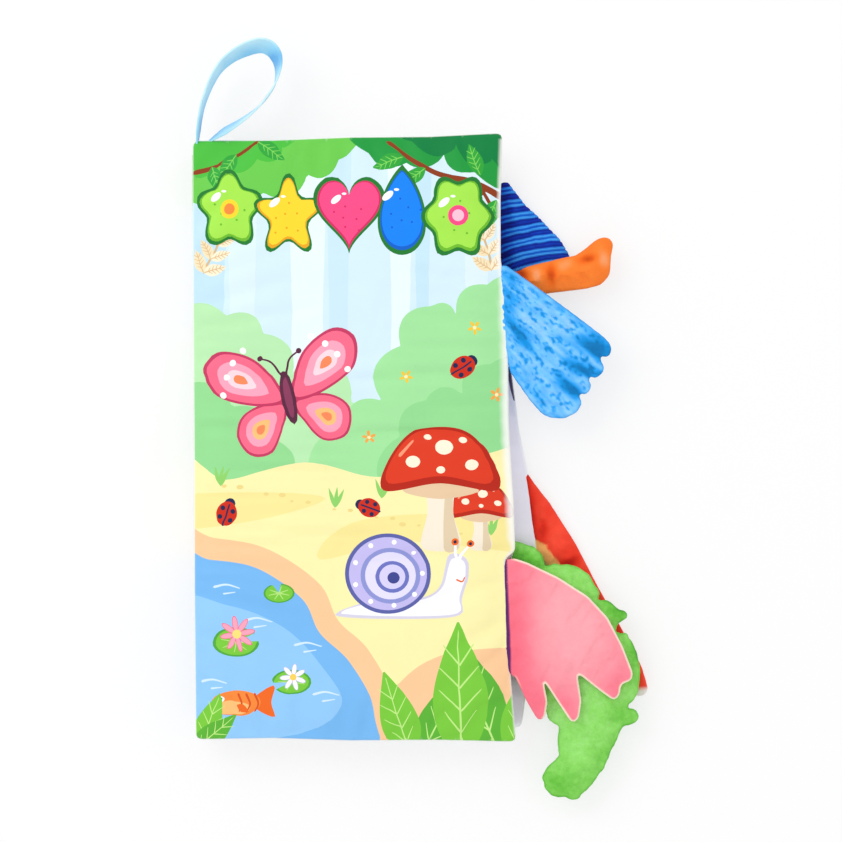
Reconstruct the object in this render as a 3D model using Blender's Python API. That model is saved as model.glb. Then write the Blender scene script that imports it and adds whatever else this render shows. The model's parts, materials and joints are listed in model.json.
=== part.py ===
"""Crinkle cloth book: three stuffed leaves, six sewn-in tails and a ribbon loop.

The closed book lies on its back cover. +X runs from the spine to the fore-edge,
+Y runs up the page and +Z is up. The origin is under the middle of the book,
in the flat underside of the back cover.
"""

from dataclasses import dataclass
from math import ceil, cos, pi, radians, sin

import bpy
import bmesh
from mathutils import Vector
from mathutils.geometry import delaunay_2d_cdt

MM = 0.001

# The leaves
COVER_WIDTH = 110 * MM
COVER_HEIGHT = 216.5 * MM
LEAF_HALF_THICKNESS = 2.9 * MM
LEAF_CROWN_RUN = 14 * MM
LEAF_CORNER_RADIUS = 5 * MM
LEAF_MESH = 26 * MM
CLOTH = 0.6 * MM
FILM = 0.25 * MM
GAP = 0.3 * MM
FILLING_INSET = 4.5 * MM
FILLING_EASE = 1.5 * MM

# The spine
SPINE_REACH = 1.5 * MM
SPINE_CLOTH = 0.6 * MM
SPINE_END_INSET = 3 * MM
SPINE_STEPS = 6
SPINE_LENGTH_STEPS = 8

# The tails
SEAM_GAP = 0.4 * MM
TAIL_CLOTH = 0.8 * MM
TAIL_CROWN_RUN = 9 * MM
TAIL_CORNER_RADIUS = 1.6 * MM
TAIL_MESH = 7 * MM
TAIL_FILLING_INSET = 4.3 * MM
TAIL_FILLING_EASE = 2.6 * MM
TAIL_DROOP_RUN = 12 * MM
HINGE_LIFT = 0.05 * MM

STRIPED_LENGTH = 24.2 * MM
STRIPED_HEIGHT = 41.9 * MM
STRIPED_HALF_THICKNESS = 2.5 * MM
STRIPED_DROOP = 0.3 * MM
RED_LENGTH = 33.2 * MM
RED_HEIGHT = 84.6 * MM
RED_HALF_THICKNESS = 2.2 * MM
RED_DROOP = 0.6 * MM
ORANGE_LENGTH = 41.2 * MM
ORANGE_HEIGHT = 23.5 * MM
ORANGE_HALF_THICKNESS = 3.2 * MM
ORANGE_DROOP = 0.3 * MM
GREEN_LENGTH = 47.4 * MM
GREEN_HEIGHT = 93.5 * MM
GREEN_HALF_THICKNESS = 3.2 * MM
GREEN_DROOP = 0.2 * MM
FAN_LENGTH = 38.6 * MM
FAN_HEIGHT = 55.4 * MM
FAN_HALF_THICKNESS = 1.6 * MM
FAN_DROOP = 0.9 * MM
WING_LENGTH = 43 * MM
WING_HEIGHT = 59.7 * MM
WING_HALF_THICKNESS = 1.6 * MM
WING_DROOP = 0.8 * MM

# The ribbon loop
LOOP_REACH = 33.6 * MM
LOOP_SPAN = 26.4 * MM
RIBBON_WIDTH = 9 * MM
RIBBON_THICKNESS = 0.8 * MM
LOOP_TILT = radians(34)
LOOP_FROM_SPINE = 2.4 * MM
LOOP_PIVOT_RISE = 1.8 * MM
LOOP_STATIONS_PER_SPAN = 2

# Rings of points that shape a crown: shares of its run in from the outline. A
# ring's corner points may move in further than the rest, by these shares.
RING_SHARES = [0.42, 1]
DRAW_IN_SHARES = [1, 1.05, 1.1, 1.15, 1.2, 1.25, 1.3, 1.35, 1.4, 1.45]

# Outlines of the leaves, from the spine's foot round to its head: shares of the
# cover's width from the spine, and of its height from the foot.
COVER_OUTLINE_SHARES = [
    (0, 0.004), (0.25, 0.006), (0.5, 0.002), (0.78, 0.003), (1.034, 0),
    (1.018, 0.12), (1.012, 0.30), (0.999, 0.53), (0.986, 0.73), (0.993, 1),
    (0.75, 0.994), (0.5, 0.993), (0.25, 0.988), (0, 0.987), (0, 0.75), (0, 0.5), (0, 0.25),
]
LEAF_OUTLINE_SHARES = [
    (0, 0.012), (0.5, 0.010), (1.008, 0.014),
    (1.002, 0.14), (0.998, 0.30), (0.985, 0.53), (0.972, 0.73), (0.975, 0.982),
    (0.5, 0.982), (0, 0.978), (0, 0.75), (0, 0.5), (0, 0.25),
]
BACK_OUTLINE_SHARES = [
    (0, 0.016), (0.5, 0.016), (1.054, 0.020),
    (1.085, 0.14), (1.097, 0.23), (1.094, 0.33), (1.062, 0.452), (1.048, 0.50),
    (1.034, 0.56), (0.998, 0.70), (0.985, 0.85), (0.985, 0.982),
    (0.5, 0.982), (0, 0.978), (0, 0.75), (0, 0.5), (0, 0.25),
]

# Outlines of the tails: shares of the tail's length out from its seam, and of
# its height from the outline's foot. The first and last points lie on the seam.
STRIPED_OUTLINE_SHARES = [
    (0, 0), (0.56, 0.07), (0.88, 0.15), (1, 0.27), (0.97, 0.38), (0.83, 0.52),
    (0.70, 0.598), (0.515, 0.72), (0.35, 0.806), (0.20, 0.927), (0.10, 0.997), (0, 1),
]
RED_OUTLINE_SHARES = [
    (0, 0.716), (0.124, 0.662), (0.229, 0.592), (0.275, 0.50), (0.335, 0.36), (0.45, 0.20),
    (0.62, 0.07), (0.80, 0.008), (0.952, 0), (1, 0.027), (0.963, 0.122),
    (0.812, 0.284), (0.60, 0.492), (0.432, 0.676), (0.209, 0.865), (0, 1),
]
ORANGE_OUTLINE_SHARES = [
    (0, 0), (0.18, 0.06), (0.40, 0.126), (0.54, 0.158), (0.759, 0.203), (0.891, 0.265),
    (0.971, 0.41), (0.978, 0.70), (1, 0.868), (0.98, 0.96), (0.918, 1), (0.845, 0.945),
    (0.759, 0.821), (0.672, 0.712), (0.595, 0.69), (0.362, 0.59), (0.135, 0.485), (0, 0.44),
]
GREEN_OUTLINE_SHARES = [
    (0, 0.563), (0.093, 0.487), (0.228, 0.392), (0.318, 0.30), (0.393, 0.289),
    (0.367, 0.236), (0.378, 0.163), (0.303, 0.141), (0.25, 0.099), (0.265, 0.053),
    (0.338, 0.011), (0.408, 0.015), (0.498, 0), (0.61, 0.053), (0.72, 0.125),
    (0.79, 0.209), (0.858, 0.281), (0.963, 0.293), (0.993, 0.323), (0.963, 0.346),
    (0.905, 0.357), (0.955, 0.384), (1, 0.439), (1, 0.513), (0.963, 0.582),
    (0.903, 0.635), (0.853, 0.678), (0.903, 0.696), (0.883, 0.716), (0.783, 0.753),
    (0.70, 0.808), (0.61, 0.867), (0.52, 0.899), (0.393, 0.897), (0.283, 0.937),
    (0.228, 0.971), (0.157, 0.977), (0.066, 1), (0, 0.962),
]
FAN_OUTLINE_SHARES = [
    (0, 0.622), (0.018, 0.442), (0.061, 0.301), (0.129, 0.231), (0.255, 0.106),
    (0.359, 0.026), (0.442, 0.003), (0.562, 0), (0.673, 0.038), (0.719, 0.09),
    (0.719, 0.144), (0.774, 0.160), (0.811, 0.199), (0.802, 0.24), (0.848, 0.253),
    (0.912, 0.288), (0.931, 0.333), (0.907, 0.369), (0.968, 0.388), (1, 0.43),
    (0.986, 0.481), (0.903, 0.535), (0.627, 0.682), (0.378, 0.811), (0, 1),
]
WING_OUTLINE_SHARES = [
    (0, 0.446), (0.004, 0.315), (0.116, 0.137), (0.207, 0.021), (0.264, 0.036),
    (0.287, 0.137), (0.256, 0.262), (0.417, 0.079), (0.488, 0), (0.545, 0.03),
    (0.567, 0.137), (0.537, 0.304), (0.697, 0.208), (0.837, 0.131), (0.888, 0.167),
    (0.893, 0.232), (0.983, 0.25), (1, 0.292), (0.917, 0.454), (0.798, 0.627),
    (0.636, 0.757), (0.397, 0.872), (0.136, 0.966), (0, 1),
]

# Centre line of the ribbon, seen from above: shares of the loop's span across
# and of its reach up, from the pivot. The tilt shares follow it from end to end.
LOOP_ROUTE_SHARES = [
    (-0.027, -0.033), (-0.066, 0.075), (-0.061, 0.21), (-0.015, 0.348), (0.061, 0.551),
    (0.20, 0.735), (0.371, 0.875), (0.564, 0.967), (0.777, 1), (0.902, 0.952),
    (0.977, 0.845), (1, 0.708), (0.928, 0.551), (0.795, 0.417), (0.682, 0.304),
    (0.481, 0.182), (0.258, 0.06), (0.034, -0.027),
]
LOOP_TILT_SHARES = [0.15, 0.25, 0.5, 0.8, 0.9, 0.9, 1, 1, 1, 0.9, 0.6, 0.3, 0, 0, 0, 0, 0, 0]


@dataclass
class Leaf:
    """One stuffed leaf of the book.

    Args:
        name: start of its pieces' names.
        shares: its outline, in shares of the cover's width and height.
        level: its place in the stack, 0 for the back cover.
        colours: colours of its upper and its lower cloth.
    """

    name: str
    shares: list
    level: int
    colours: tuple

    def outline(self):
        """Return the outline's points, counter-clockwise from above."""
        corners = [
            Vector(((u - 0.5) * COVER_WIDTH, (v - 0.5) * COVER_HEIGHT)) for u, v in self.shares
        ]
        return rounded(corners, LEAF_CORNER_RADIUS)

    def spine_span(self):
        """Return where the leaf's spine side starts and ends, up the page."""
        ends = [(v - 0.5) * COVER_HEIGHT for u, v in self.shares if u == 0]
        return min(ends), max(ends)

    def middle(self):
        """Return the height of the seam, half way up the leaf."""
        return LEAF_HALF_THICKNESS + self.level * leaf_pitch()

    def half_thickness(self, inside):
        """Return half the leaf's thickness, so far inside its outline."""
        return crown(inside, GAP / 2 + CLOTH, LEAF_HALF_THICKNESS, LEAF_CROWN_RUN)


@dataclass
class Tail:
    """One stuffed tail, sewn into a leaf's fore-edge.

    Args:
        name: start of its pieces' names.
        leaf: the leaf that carries it.
        seam_share: share of the cover's height at the foot of its seam.
        shares: its outline, in shares of its length and height.
        size: its length out from the seam and its height.
        half_thickness: half its thickness at the crown.
        droop: how far its middle sinks below the leaf's seam.
        filling: name of what is inside it.
        colour: colour of its cloths.
    """

    name: str
    leaf: Leaf
    seam_share: float
    shares: list
    size: tuple
    half_thickness: float
    droop: float
    filling: str
    colour: tuple

    def seam(self):
        """Return the seam's foot, its direction and the way out from it."""
        length, height = self.size
        foot_y = (self.seam_share - 0.5) * COVER_HEIGHT
        head_y = foot_y + (self.shares[-1][1] - self.shares[0][1]) * height
        edge = self.leaf.outline()
        foot = Vector((fore_edge(edge, foot_y), foot_y))
        head = Vector((fore_edge(edge, head_y), head_y))
        along = (head - foot).normalized()
        out = Vector((along.y, -along.x))
        between = [p for p in edge if foot_y <= p.y <= head_y]
        bulge = max((max((p - foot).dot(out), 0) for p in between), default=0)
        return foot + out * (bulge + SEAM_GAP), along, out

    def outline(self):
        """Return the outline's points, counter-clockwise from above."""
        foot, along, out = self.seam()
        length, height = self.size
        start = self.shares[0][1]
        corners = [foot + out * u * length + along * (v - start) * height for u, v in self.shares]
        return rounded(corners, TAIL_CORNER_RADIUS)

    def middle(self, point):
        """Return the height of the tail's middle over a point."""
        foot, along, out = self.seam()
        run = min(max((point - foot).dot(out) / TAIL_DROOP_RUN, 0), 1)
        return self.leaf.middle() - self.droop * smooth(run)

    def hinge(self, side):
        """Return a point on the flap's axis: on the upper edge of the seam for
        side 1, on the lower edge for side -1."""
        foot = self.seam()[0]
        lift = GAP / 2 + TAIL_CLOTH + HINGE_LIFT
        return Vector((foot.x, foot.y, self.leaf.middle() + side * lift))


def leaf_pitch():
    """Return the height from one leaf's middle to the next."""
    return 2 * LEAF_HALF_THICKNESS + GAP


def smooth(share):
    """Return an eased share between 0 and 1."""
    return share * share * (3 - 2 * share)


def crown(inside, edge, top, run):
    """Return the half thickness of a stuffed piece, so far inside its outline."""
    return edge + (top - edge) * sin(pi / 2 * min(max(inside / run, 0), 1))


def rounded(corners, radius):
    """Return an outline with its sharp corners cut by two points each."""
    points = []
    for before, corner, after in zip(corners[-1:] + corners[:-1], corners, corners[1:] + corners[:1]):
        back, ahead = before - corner, after - corner
        if back.angle(ahead) > pi * 0.8:
            points.append(corner)
            continue
        cut = min(radius, back.length * 0.4, ahead.length * 0.4)
        start, end = corner + back.normalized() * cut, corner + ahead.normalized() * cut
        points += [start, (start + end) / 4 + corner / 2, end]
    return points


def fore_edge(outline, height):
    """Return how far right an outline reaches at a height."""
    found = []
    for a, b in zip(outline, outline[1:] + outline[:1]):
        if min(a.y, b.y) <= height <= max(a.y, b.y) and a.y != b.y:
            found.append(a.x + (b.x - a.x) * (height - a.y) / (b.y - a.y))
    return max(found)


def inside_by(point, outline):
    """Return the distance from a point to an outline's nearest side."""
    nearest = []
    for a, b in zip(outline, outline[1:] + outline[:1]):
        side = b - a
        share = min(max((point - a).dot(side) / side.length_squared, 0), 1)
        nearest.append((point - a - side * share).length)
    return min(nearest)


def holds(outline, point):
    """Return whether a point lies inside an outline."""
    crossings = 0
    for a, b in zip(outline, outline[1:] + outline[:1]):
        if (a.y > point.y) != (b.y > point.y):
            crossings += point.x < a.x + (b.x - a.x) * (point.y - a.y) / (b.y - a.y)
    return crossings % 2 == 1


def drawn_in(outline, distance, step):
    """Return an outline moved inward, without what has no room there.

    Args:
        outline: its points, counter-clockwise from above.
        distance: how far in it moves.
        step: longest distance between the points taken along a side.
    """
    starts = []
    for before, point, after in zip(outline[-1:] + outline[:-1], outline, outline[1:] + outline[:1]):
        side = after - point
        chord = side.normalized() + (point - before).normalized()
        starts.append((point, chord.normalized()))
        parts = ceil(side.length / step)
        starts += [(point + side * k / parts, side.normalized()) for k in range(1, parts)]
    points = []
    for start, along in starts:
        inward = Vector((-along.y, along.x))
        for share in DRAW_IN_SHARES:
            moved = start + inward * distance * share
            if holds(outline, moved) and inside_by(moved, outline) > distance * 0.98:
                if all((moved - other).length > step * 0.3 for other in points):
                    points.append(moved)
                break
    return points


def plan_mesh(outline, spacing, run):
    """Return points and triangles that fill an outline.

    Args:
        outline: its points, counter-clockwise from above.
        spacing: distance between the points well inside it.
        run: how far inside it the crown levels off.
    """
    rings = [p for share in RING_SHARES for p in drawn_in(outline, run * share, spacing)]
    xs, ys = [p.x for p in outline], [p.y for p in outline]
    rows = ceil((max(ys) - min(ys)) / (spacing * sin(pi / 3)))
    columns = ceil((max(xs) - min(xs)) / spacing)
    inner = []
    for row in range(1, rows):
        for column in range(columns + 1):
            x = min(xs) + (column + 0.5 * (row % 2)) * spacing
            point = Vector((x, min(ys) + row * (max(ys) - min(ys)) / rows))
            if holds(outline, point) and inside_by(point, outline) > run + spacing / 3:
                inner.append(point)
    loop = list(range(len(outline)))
    found = delaunay_2d_cdt(outline + rings + inner, [], [loop], 1, spacing / 10000)
    points, triangles = found[0], found[2]
    return points, [t if turns_left(points, t) else t[::-1] for t in triangles]


def turns_left(points, triangle):
    """Return whether a triangle runs counter-clockwise."""
    a, b, c = (points[i] for i in triangle)
    return (b - a).cross(c - a) > 0


def layer(name, outline, spacing, run, height_top, height_foot):
    """Make a closed sheet between two heights over an outline.

    Args:
        name: the object's name.
        outline: its points, counter-clockwise from above.
        spacing: distance between the points of its faces.
        run: how far inside the outline the crown levels off.
        height_top: gives the upper face's height over a point.
        height_foot: gives the lower face's height over a point.

    Returns:
        The new object.
    """
    points, triangles = plan_mesh(outline, spacing, run)
    mesh = bmesh.new()
    upper = [mesh.verts.new((p.x, p.y, height_top(p))) for p in points]
    lower = [mesh.verts.new((p.x, p.y, height_foot(p))) for p in points]
    for a, b, c in triangles:
        mesh.faces.new((upper[a], upper[b], upper[c]))
        mesh.faces.new((lower[c], lower[b], lower[a]))
    sides = {(t[i], t[(i + 1) % 3]) for t in triangles for i in range(3)}
    for a, b in sorted(sides):
        if (b, a) not in sides:
            mesh.faces.new((upper[a], lower[a], lower[b], upper[b]))
    return finished(name, mesh)


def finished(name, mesh):
    """Turn a bmesh into a smoothly shaded object of the scene."""
    data = bpy.data.meshes.new(name)
    mesh.to_mesh(data)
    mesh.free()
    data.shade_smooth()
    data.set_sharp_from_angle(angle=radians(40))
    made = bpy.data.objects.new(name, data)
    bpy.context.scene.collection.objects.link(made)
    return made


def dress(made, colour, roughness):
    """Give an object a material of its own."""
    finish = bpy.data.materials.new(made.name)
    finish.use_nodes = True
    shader = finish.node_tree.nodes["Principled BSDF"]
    shader.inputs["Base Color"].default_value = (*colour, 1)
    shader.inputs["Roughness"].default_value = roughness
    shader.inputs["Metallic"].default_value = 0
    made.data.materials.append(finish)


def axis_empty(name, place, parent):
    """Make an empty on a joint's axis, to carry what turns with it."""
    empty = bpy.data.objects.new(name, None)
    bpy.context.scene.collection.objects.link(empty)
    empty.parent = parent
    origin = world_place(parent) if parent else Vector((0, 0, 0))
    empty.location = place - origin
    return empty


def world_place(empty):
    """Return where an empty stands, through its parents."""
    place = empty.location.copy()
    while empty.parent:
        empty = empty.parent
        place += empty.location
    return place


def carry(pieces, empty):
    """Parent pieces to an empty, with their origins on its axis."""
    place = world_place(empty)
    for piece in pieces:
        for vertex in piece.data.vertices:
            vertex.co -= place
        piece.parent = empty


def stuffed(names, outline, spacing, run, middle, half, cloth):
    """Make the two cloths of a stuffed piece, seamed along its outline.

    Args:
        names: names of the upper and the lower cloth.
        outline: the piece's outline.
        spacing: distance between the points of its faces.
        run: how far inside the outline the crown levels off.
        middle: gives the height of the piece's middle over a point.
        half: gives half the thickness, so far inside the outline.
        cloth: thickness of each cloth.

    Returns:
        The upper and the lower cloth.
    """

    def rise(point):
        """Half thickness of the piece over a point."""
        return half(inside_by(point, outline))

    upper = layer(
        names[0], outline, spacing, run,
        lambda p: middle(p) + rise(p),
        lambda p: middle(p) + rise(p) - cloth,
    )
    lower = layer(
        names[1], outline, spacing, run,
        lambda p: middle(p) - rise(p) + cloth,
        lambda p: middle(p) - rise(p),
    )
    return upper, lower


def make_leaf(leaf):
    """Make a leaf's two cloths, its crinkle film and its wadding."""
    outline = leaf.outline()
    names = (f"{leaf.name}_upper_cloth", f"{leaf.name}_lower_cloth")
    upper, lower = stuffed(
        names, outline, LEAF_MESH, LEAF_CROWN_RUN,
        lambda p: leaf.middle(), leaf.half_thickness, CLOTH,
    )
    inner = drawn_in(outline, FILLING_INSET, LEAF_MESH)

    def room(point):
        """Height of the space inside the cloths, above the leaf's middle."""
        return leaf.half_thickness(inside_by(point, outline) - FILLING_EASE) - CLOTH - GAP

    film = layer(
        f"{leaf.name}_crinkle_film", inner, LEAF_MESH, LEAF_CROWN_RUN - FILLING_INSET,
        lambda p: leaf.middle() + room(p),
        lambda p: leaf.middle() + room(p) - FILM,
    )
    wadding = layer(
        f"{leaf.name}_wadding", inner, LEAF_MESH, LEAF_CROWN_RUN - FILLING_INSET,
        lambda p: leaf.middle() + room(p) - FILM - GAP,
        lambda p: leaf.middle() - room(p),
    )
    dress(upper, leaf.colours[0], 0.5)
    dress(lower, leaf.colours[1], 0.5)
    dress(film, (0.8, 0.82, 0.85), 0.2)
    dress(wadding, (0.9, 0.9, 0.88), 0.9)
    return [upper, lower, film, wadding]


def make_tail(tail):
    """Make a tail's two cloths and its filling."""
    outline = tail.outline()

    def half(inside):
        """Half thickness of the tail, so far inside its outline."""
        return crown(inside, GAP / 2 + TAIL_CLOTH, tail.half_thickness, TAIL_CROWN_RUN)

    names = (f"{tail.name}_upper_cloth", f"{tail.name}_lower_cloth")
    upper, lower = stuffed(
        names, outline, TAIL_MESH, TAIL_CROWN_RUN, tail.middle, half, TAIL_CLOTH
    )
    inner = drawn_in(outline, TAIL_FILLING_INSET, TAIL_MESH)

    def room(point):
        """Half the space inside the cloths."""
        eased = inside_by(point, outline) - TAIL_FILLING_EASE
        return half(eased) - TAIL_CLOTH - GAP / 2

    filling = layer(
        f"{tail.name}_{tail.filling}", inner, TAIL_MESH, TAIL_CROWN_RUN - TAIL_FILLING_INSET,
        lambda p: tail.middle(p) + room(p),
        lambda p: tail.middle(p) - room(p),
    )
    dress(upper, tail.colour, 0.8)
    dress(lower, tail.colour, 0.8)
    dress(filling, (0.9, 0.9, 0.88), 0.9)
    return [upper, lower, filling]


def make_spine_cloth(name, lower_leaf, upper_leaf):
    """Make the strip of spine cloth that joins one leaf to the next.

    Args:
        name: the strip's name.
        lower_leaf: the leaf at its foot.
        upper_leaf: the leaf at its head.

    Returns:
        The strip and the height of its fold line.
    """
    foot_height = lower_leaf.middle() + GAP / 2
    head_height = upper_leaf.middle() - GAP / 2
    spans = [leaf.spine_span() for leaf in (lower_leaf, upper_leaf)]
    foot_y = max(foot for foot, head in spans) + SPINE_END_INSET
    head_y = min(head for foot, head in spans) - SPINE_END_INSET
    edge = -COVER_WIDTH / 2 - GAP
    mesh = bmesh.new()
    rings = []
    for step in range(SPINE_LENGTH_STEPS + 1):
        y = foot_y + (head_y - foot_y) * step / SPINE_LENGTH_STEPS
        ring = []
        for turn in range(SPINE_STEPS + 1):
            share = turn / SPINE_STEPS
            bow = (SPINE_REACH - GAP) * sin(pi * share)
            ring.append((edge - bow, y, foot_height + (head_height - foot_height) * share))
        outer = [mesh.verts.new((x - SPINE_CLOTH, y, z)) for x, y, z in ring]
        inner = [mesh.verts.new(point) for point in reversed(ring)]
        rings.append(outer + inner)
    for near, far in zip(rings, rings[1:]):
        for i in range(len(near)):
            j = (i + 1) % len(near)
            mesh.faces.new((near[i], far[i], far[j], near[j]))
    count = len(rings[0])
    for i in range(SPINE_STEPS):
        near, far = rings[0], rings[-1]
        mesh.faces.new((near[i], near[i + 1], near[count - 2 - i], near[count - 1 - i]))
        mesh.faces.new((far[count - 1 - i], far[count - 2 - i], far[i + 1], far[i]))
    bmesh.ops.recalc_face_normals(mesh, faces=mesh.faces)
    strip = finished(name, mesh)
    dress(strip, (0.55, 0.85, 0.55), 0.5)
    return strip, (foot_height + head_height) / 2


def curve_point(points, index, share):
    """Return a point on a smooth curve, a share of the way past one of its points."""
    last = len(points) - 1
    a, b, c, d = (points[min(max(index + k, 0), last)] for k in (-1, 0, 1, 2))
    return (
        b + (c - a) * share / 2
        + (2 * a - 5 * b + 4 * c - d) * share**2 / 2
        + (3 * b - a - 3 * c + d) * share**3 / 2
    )


def make_ribbon_loop(pivot):
    """Make the ribbon, standing on edge along its route.

    Args:
        pivot: middle of the loop's root.

    Returns:
        The ribbon.
    """
    route = [Vector((u * LOOP_SPAN, v * LOOP_REACH, 0)) for u, v in LOOP_ROUTE_SHARES]
    stations = []
    for index in range(len(route) - 1):
        for part in range(LOOP_STATIONS_PER_SPAN):
            share = part / LOOP_STATIONS_PER_SPAN
            tilt = LOOP_TILT_SHARES[index] * (1 - share) + LOOP_TILT_SHARES[index + 1] * share
            stations.append((curve_point(route, index, share), tilt * LOOP_TILT))
    stations.append((route[-1], LOOP_TILT_SHARES[-1] * LOOP_TILT))
    places = [place for place, tilt in stations]
    mesh = bmesh.new()
    rings = []
    for index, (place, tilt) in enumerate(stations):
        ahead = places[min(index + 1, len(places) - 1)] - places[max(index - 1, 0)]
        side = Vector((-ahead.y, ahead.x, 0)).normalized()
        across = Vector((0, 0, cos(tilt))) + side * sin(tilt)
        through = side * cos(tilt) - Vector((0, 0, sin(tilt)))
        ring = []
        for w, t in ((1, 1), (1, -1), (-1, -1), (-1, 1)):
            offset = across * w * RIBBON_WIDTH / 2 + through * t * RIBBON_THICKNESS / 2
            ring.append(mesh.verts.new(pivot + place + offset))
        rings.append(ring)
    for near, far in zip(rings, rings[1:]):
        for i in range(4):
            j = (i + 1) % 4
            mesh.faces.new((near[i], near[j], far[j], far[i]))
    mesh.faces.new(rings[0][::-1])
    mesh.faces.new(rings[-1])
    bmesh.ops.recalc_face_normals(mesh, faces=mesh.faces)
    ribbon = finished("ribbon_loop", mesh)
    dress(ribbon, (0.36, 0.72, 0.93), 0.4)
    return ribbon


def millimetres(place):
    """Return a place as text, in millimetres."""
    return ", ".join(f"{value / MM:.3f}" for value in place)


def report_hinge(name, place, axis):
    """Print a joint's place and axis."""
    print(f"{name}: at {millimetres(place)} mm, axis {tuple(round(a, 5) for a in axis)}")


def main():
    """Build the book, piece by piece."""
    for old in list(bpy.data.objects):
        bpy.data.objects.remove(old)

    back = Leaf("back_cover", BACK_OUTLINE_SHARES, 0, ((0.83, 0.82, 0.93), (0.45, 0.75, 0.93)))
    page = Leaf("inner_leaf", LEAF_OUTLINE_SHARES, 1, ((0.95, 0.9, 0.75), (0.7, 0.88, 0.95)))
    cover = Leaf("front_cover", COVER_OUTLINE_SHARES, 2, ((0.5, 0.85, 0.45), (0.9, 0.92, 0.96)))
    make_leaf(back)

    lower_strip, fold = make_spine_cloth("spine_cloth_lower", back, page)
    spine_x = -COVER_WIDTH / 2 - SPINE_REACH
    page_fold = axis_empty("inner_leaf_axis", Vector((spine_x, 0, fold)), None)
    carry(make_leaf(page), page_fold)

    upper_strip, fold = make_spine_cloth("spine_cloth_upper", page, cover)
    cover_fold = axis_empty("front_cover_axis", Vector((spine_x, 0, fold)), page_fold)
    carry([upper_strip], page_fold)
    carry(make_leaf(cover), cover_fold)
    report_hinge("leaf_turn", world_place(page_fold), (0, -1, 0))
    report_hinge("cover_turn", world_place(cover_fold), (0, -1, 0))

    tails = [
        Tail("striped_tail", back, 0.7256, STRIPED_OUTLINE_SHARES, (STRIPED_LENGTH, STRIPED_HEIGHT),
             STRIPED_HALF_THICKNESS, STRIPED_DROOP, "stuffing", (0.02, 0.12, 0.6)),
        Tail("red_tail", back, 0.330, RED_OUTLINE_SHARES, (RED_LENGTH, RED_HEIGHT),
             RED_HALF_THICKNESS, RED_DROOP, "stuffing", (0.88, 0.1, 0.04)),
        Tail("orange_tail", page, 0.7224, ORANGE_OUTLINE_SHARES, (ORANGE_LENGTH, ORANGE_HEIGHT),
             ORANGE_HALF_THICKNESS, ORANGE_DROOP, "stuffing", (1, 0.35, 0.08)),
        Tail("green_tail", page, 0.1427, GREEN_OUTLINE_SHARES, (GREEN_LENGTH, GREEN_HEIGHT),
             GREEN_HALF_THICKNESS, GREEN_DROOP, "stuffing", (0.2, 0.62, 0.12)),
        Tail("fan_tail", cover, 0.6896, FAN_OUTLINE_SHARES, (FAN_LENGTH, FAN_HEIGHT),
             FAN_HALF_THICKNESS, FAN_DROOP, "crinkle_film", (0.1, 0.42, 0.8)),
        Tail("wing_tail", cover, 0.151, WING_OUTLINE_SHARES, (WING_LENGTH, WING_HEIGHT),
             WING_HALF_THICKNESS, WING_DROOP, "crinkle_film", (1, 0.3, 0.38)),
    ]
    carriers = {back.name: None, page.name: page_fold, cover.name: cover_fold}
    flap_sides = {back.name: -1, page.name: 0, cover.name: 1}
    for tail in tails:
        pieces = make_tail(tail)
        carrier = carriers[tail.leaf.name]
        side = flap_sides[tail.leaf.name]
        if side == 0:
            carry(pieces, carrier)
            continue
        place = tail.hinge(side)
        carry(pieces, axis_empty(f"{tail.name}_axis", place, carrier))
        along = tail.seam()[1]
        report_hinge(f"{tail.name}_flap", place, (-along.x, -along.y, 0))

    head_y = cover.spine_span()[1]
    pivot = Vector((-COVER_WIDTH / 2 + LOOP_FROM_SPINE, head_y + LOOP_PIVOT_RISE, cover.middle()))
    loop_pivot = axis_empty("ribbon_loop_axis", pivot, cover_fold)
    carry([make_ribbon_loop(pivot)], loop_pivot)
    report_hinge("loop_swing", pivot, (0, 0, 1))


main()
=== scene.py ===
"""Looks of the crinkle cloth book: printed padded leaves, plush tails and ribbon loop.

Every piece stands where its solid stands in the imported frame. Lengths are in
millimetres where a name ends in _mm, and in metres everywhere else.
"""

from __future__ import annotations

import json
import logging
import math
from dataclasses import dataclass, field
from enum import Enum
from functools import cached_property
from typing import Callable, Sequence

import bpy
import numpy as np
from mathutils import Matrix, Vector, noise
from mathutils.bvhtree import BVHTree
from mathutils.geometry import delaunay_2d_cdt

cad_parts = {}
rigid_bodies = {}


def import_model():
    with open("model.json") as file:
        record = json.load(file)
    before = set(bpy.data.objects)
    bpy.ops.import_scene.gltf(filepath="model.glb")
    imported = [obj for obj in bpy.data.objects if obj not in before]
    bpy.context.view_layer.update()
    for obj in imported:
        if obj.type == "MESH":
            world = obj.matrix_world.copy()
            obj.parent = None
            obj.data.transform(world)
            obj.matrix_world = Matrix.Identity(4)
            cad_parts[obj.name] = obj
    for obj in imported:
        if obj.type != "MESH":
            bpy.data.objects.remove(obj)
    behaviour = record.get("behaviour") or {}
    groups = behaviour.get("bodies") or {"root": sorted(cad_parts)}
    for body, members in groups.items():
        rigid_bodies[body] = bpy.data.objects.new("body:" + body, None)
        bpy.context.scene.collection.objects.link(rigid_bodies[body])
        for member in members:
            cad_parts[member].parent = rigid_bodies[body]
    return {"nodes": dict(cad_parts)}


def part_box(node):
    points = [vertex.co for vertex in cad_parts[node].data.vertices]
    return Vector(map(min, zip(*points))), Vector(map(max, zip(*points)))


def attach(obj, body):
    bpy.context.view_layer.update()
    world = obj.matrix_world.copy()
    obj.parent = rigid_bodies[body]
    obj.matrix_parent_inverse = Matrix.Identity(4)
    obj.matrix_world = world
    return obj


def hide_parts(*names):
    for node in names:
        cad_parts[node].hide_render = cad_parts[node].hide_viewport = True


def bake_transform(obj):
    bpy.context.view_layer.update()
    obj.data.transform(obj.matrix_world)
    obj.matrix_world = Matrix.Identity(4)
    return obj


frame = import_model()
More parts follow.
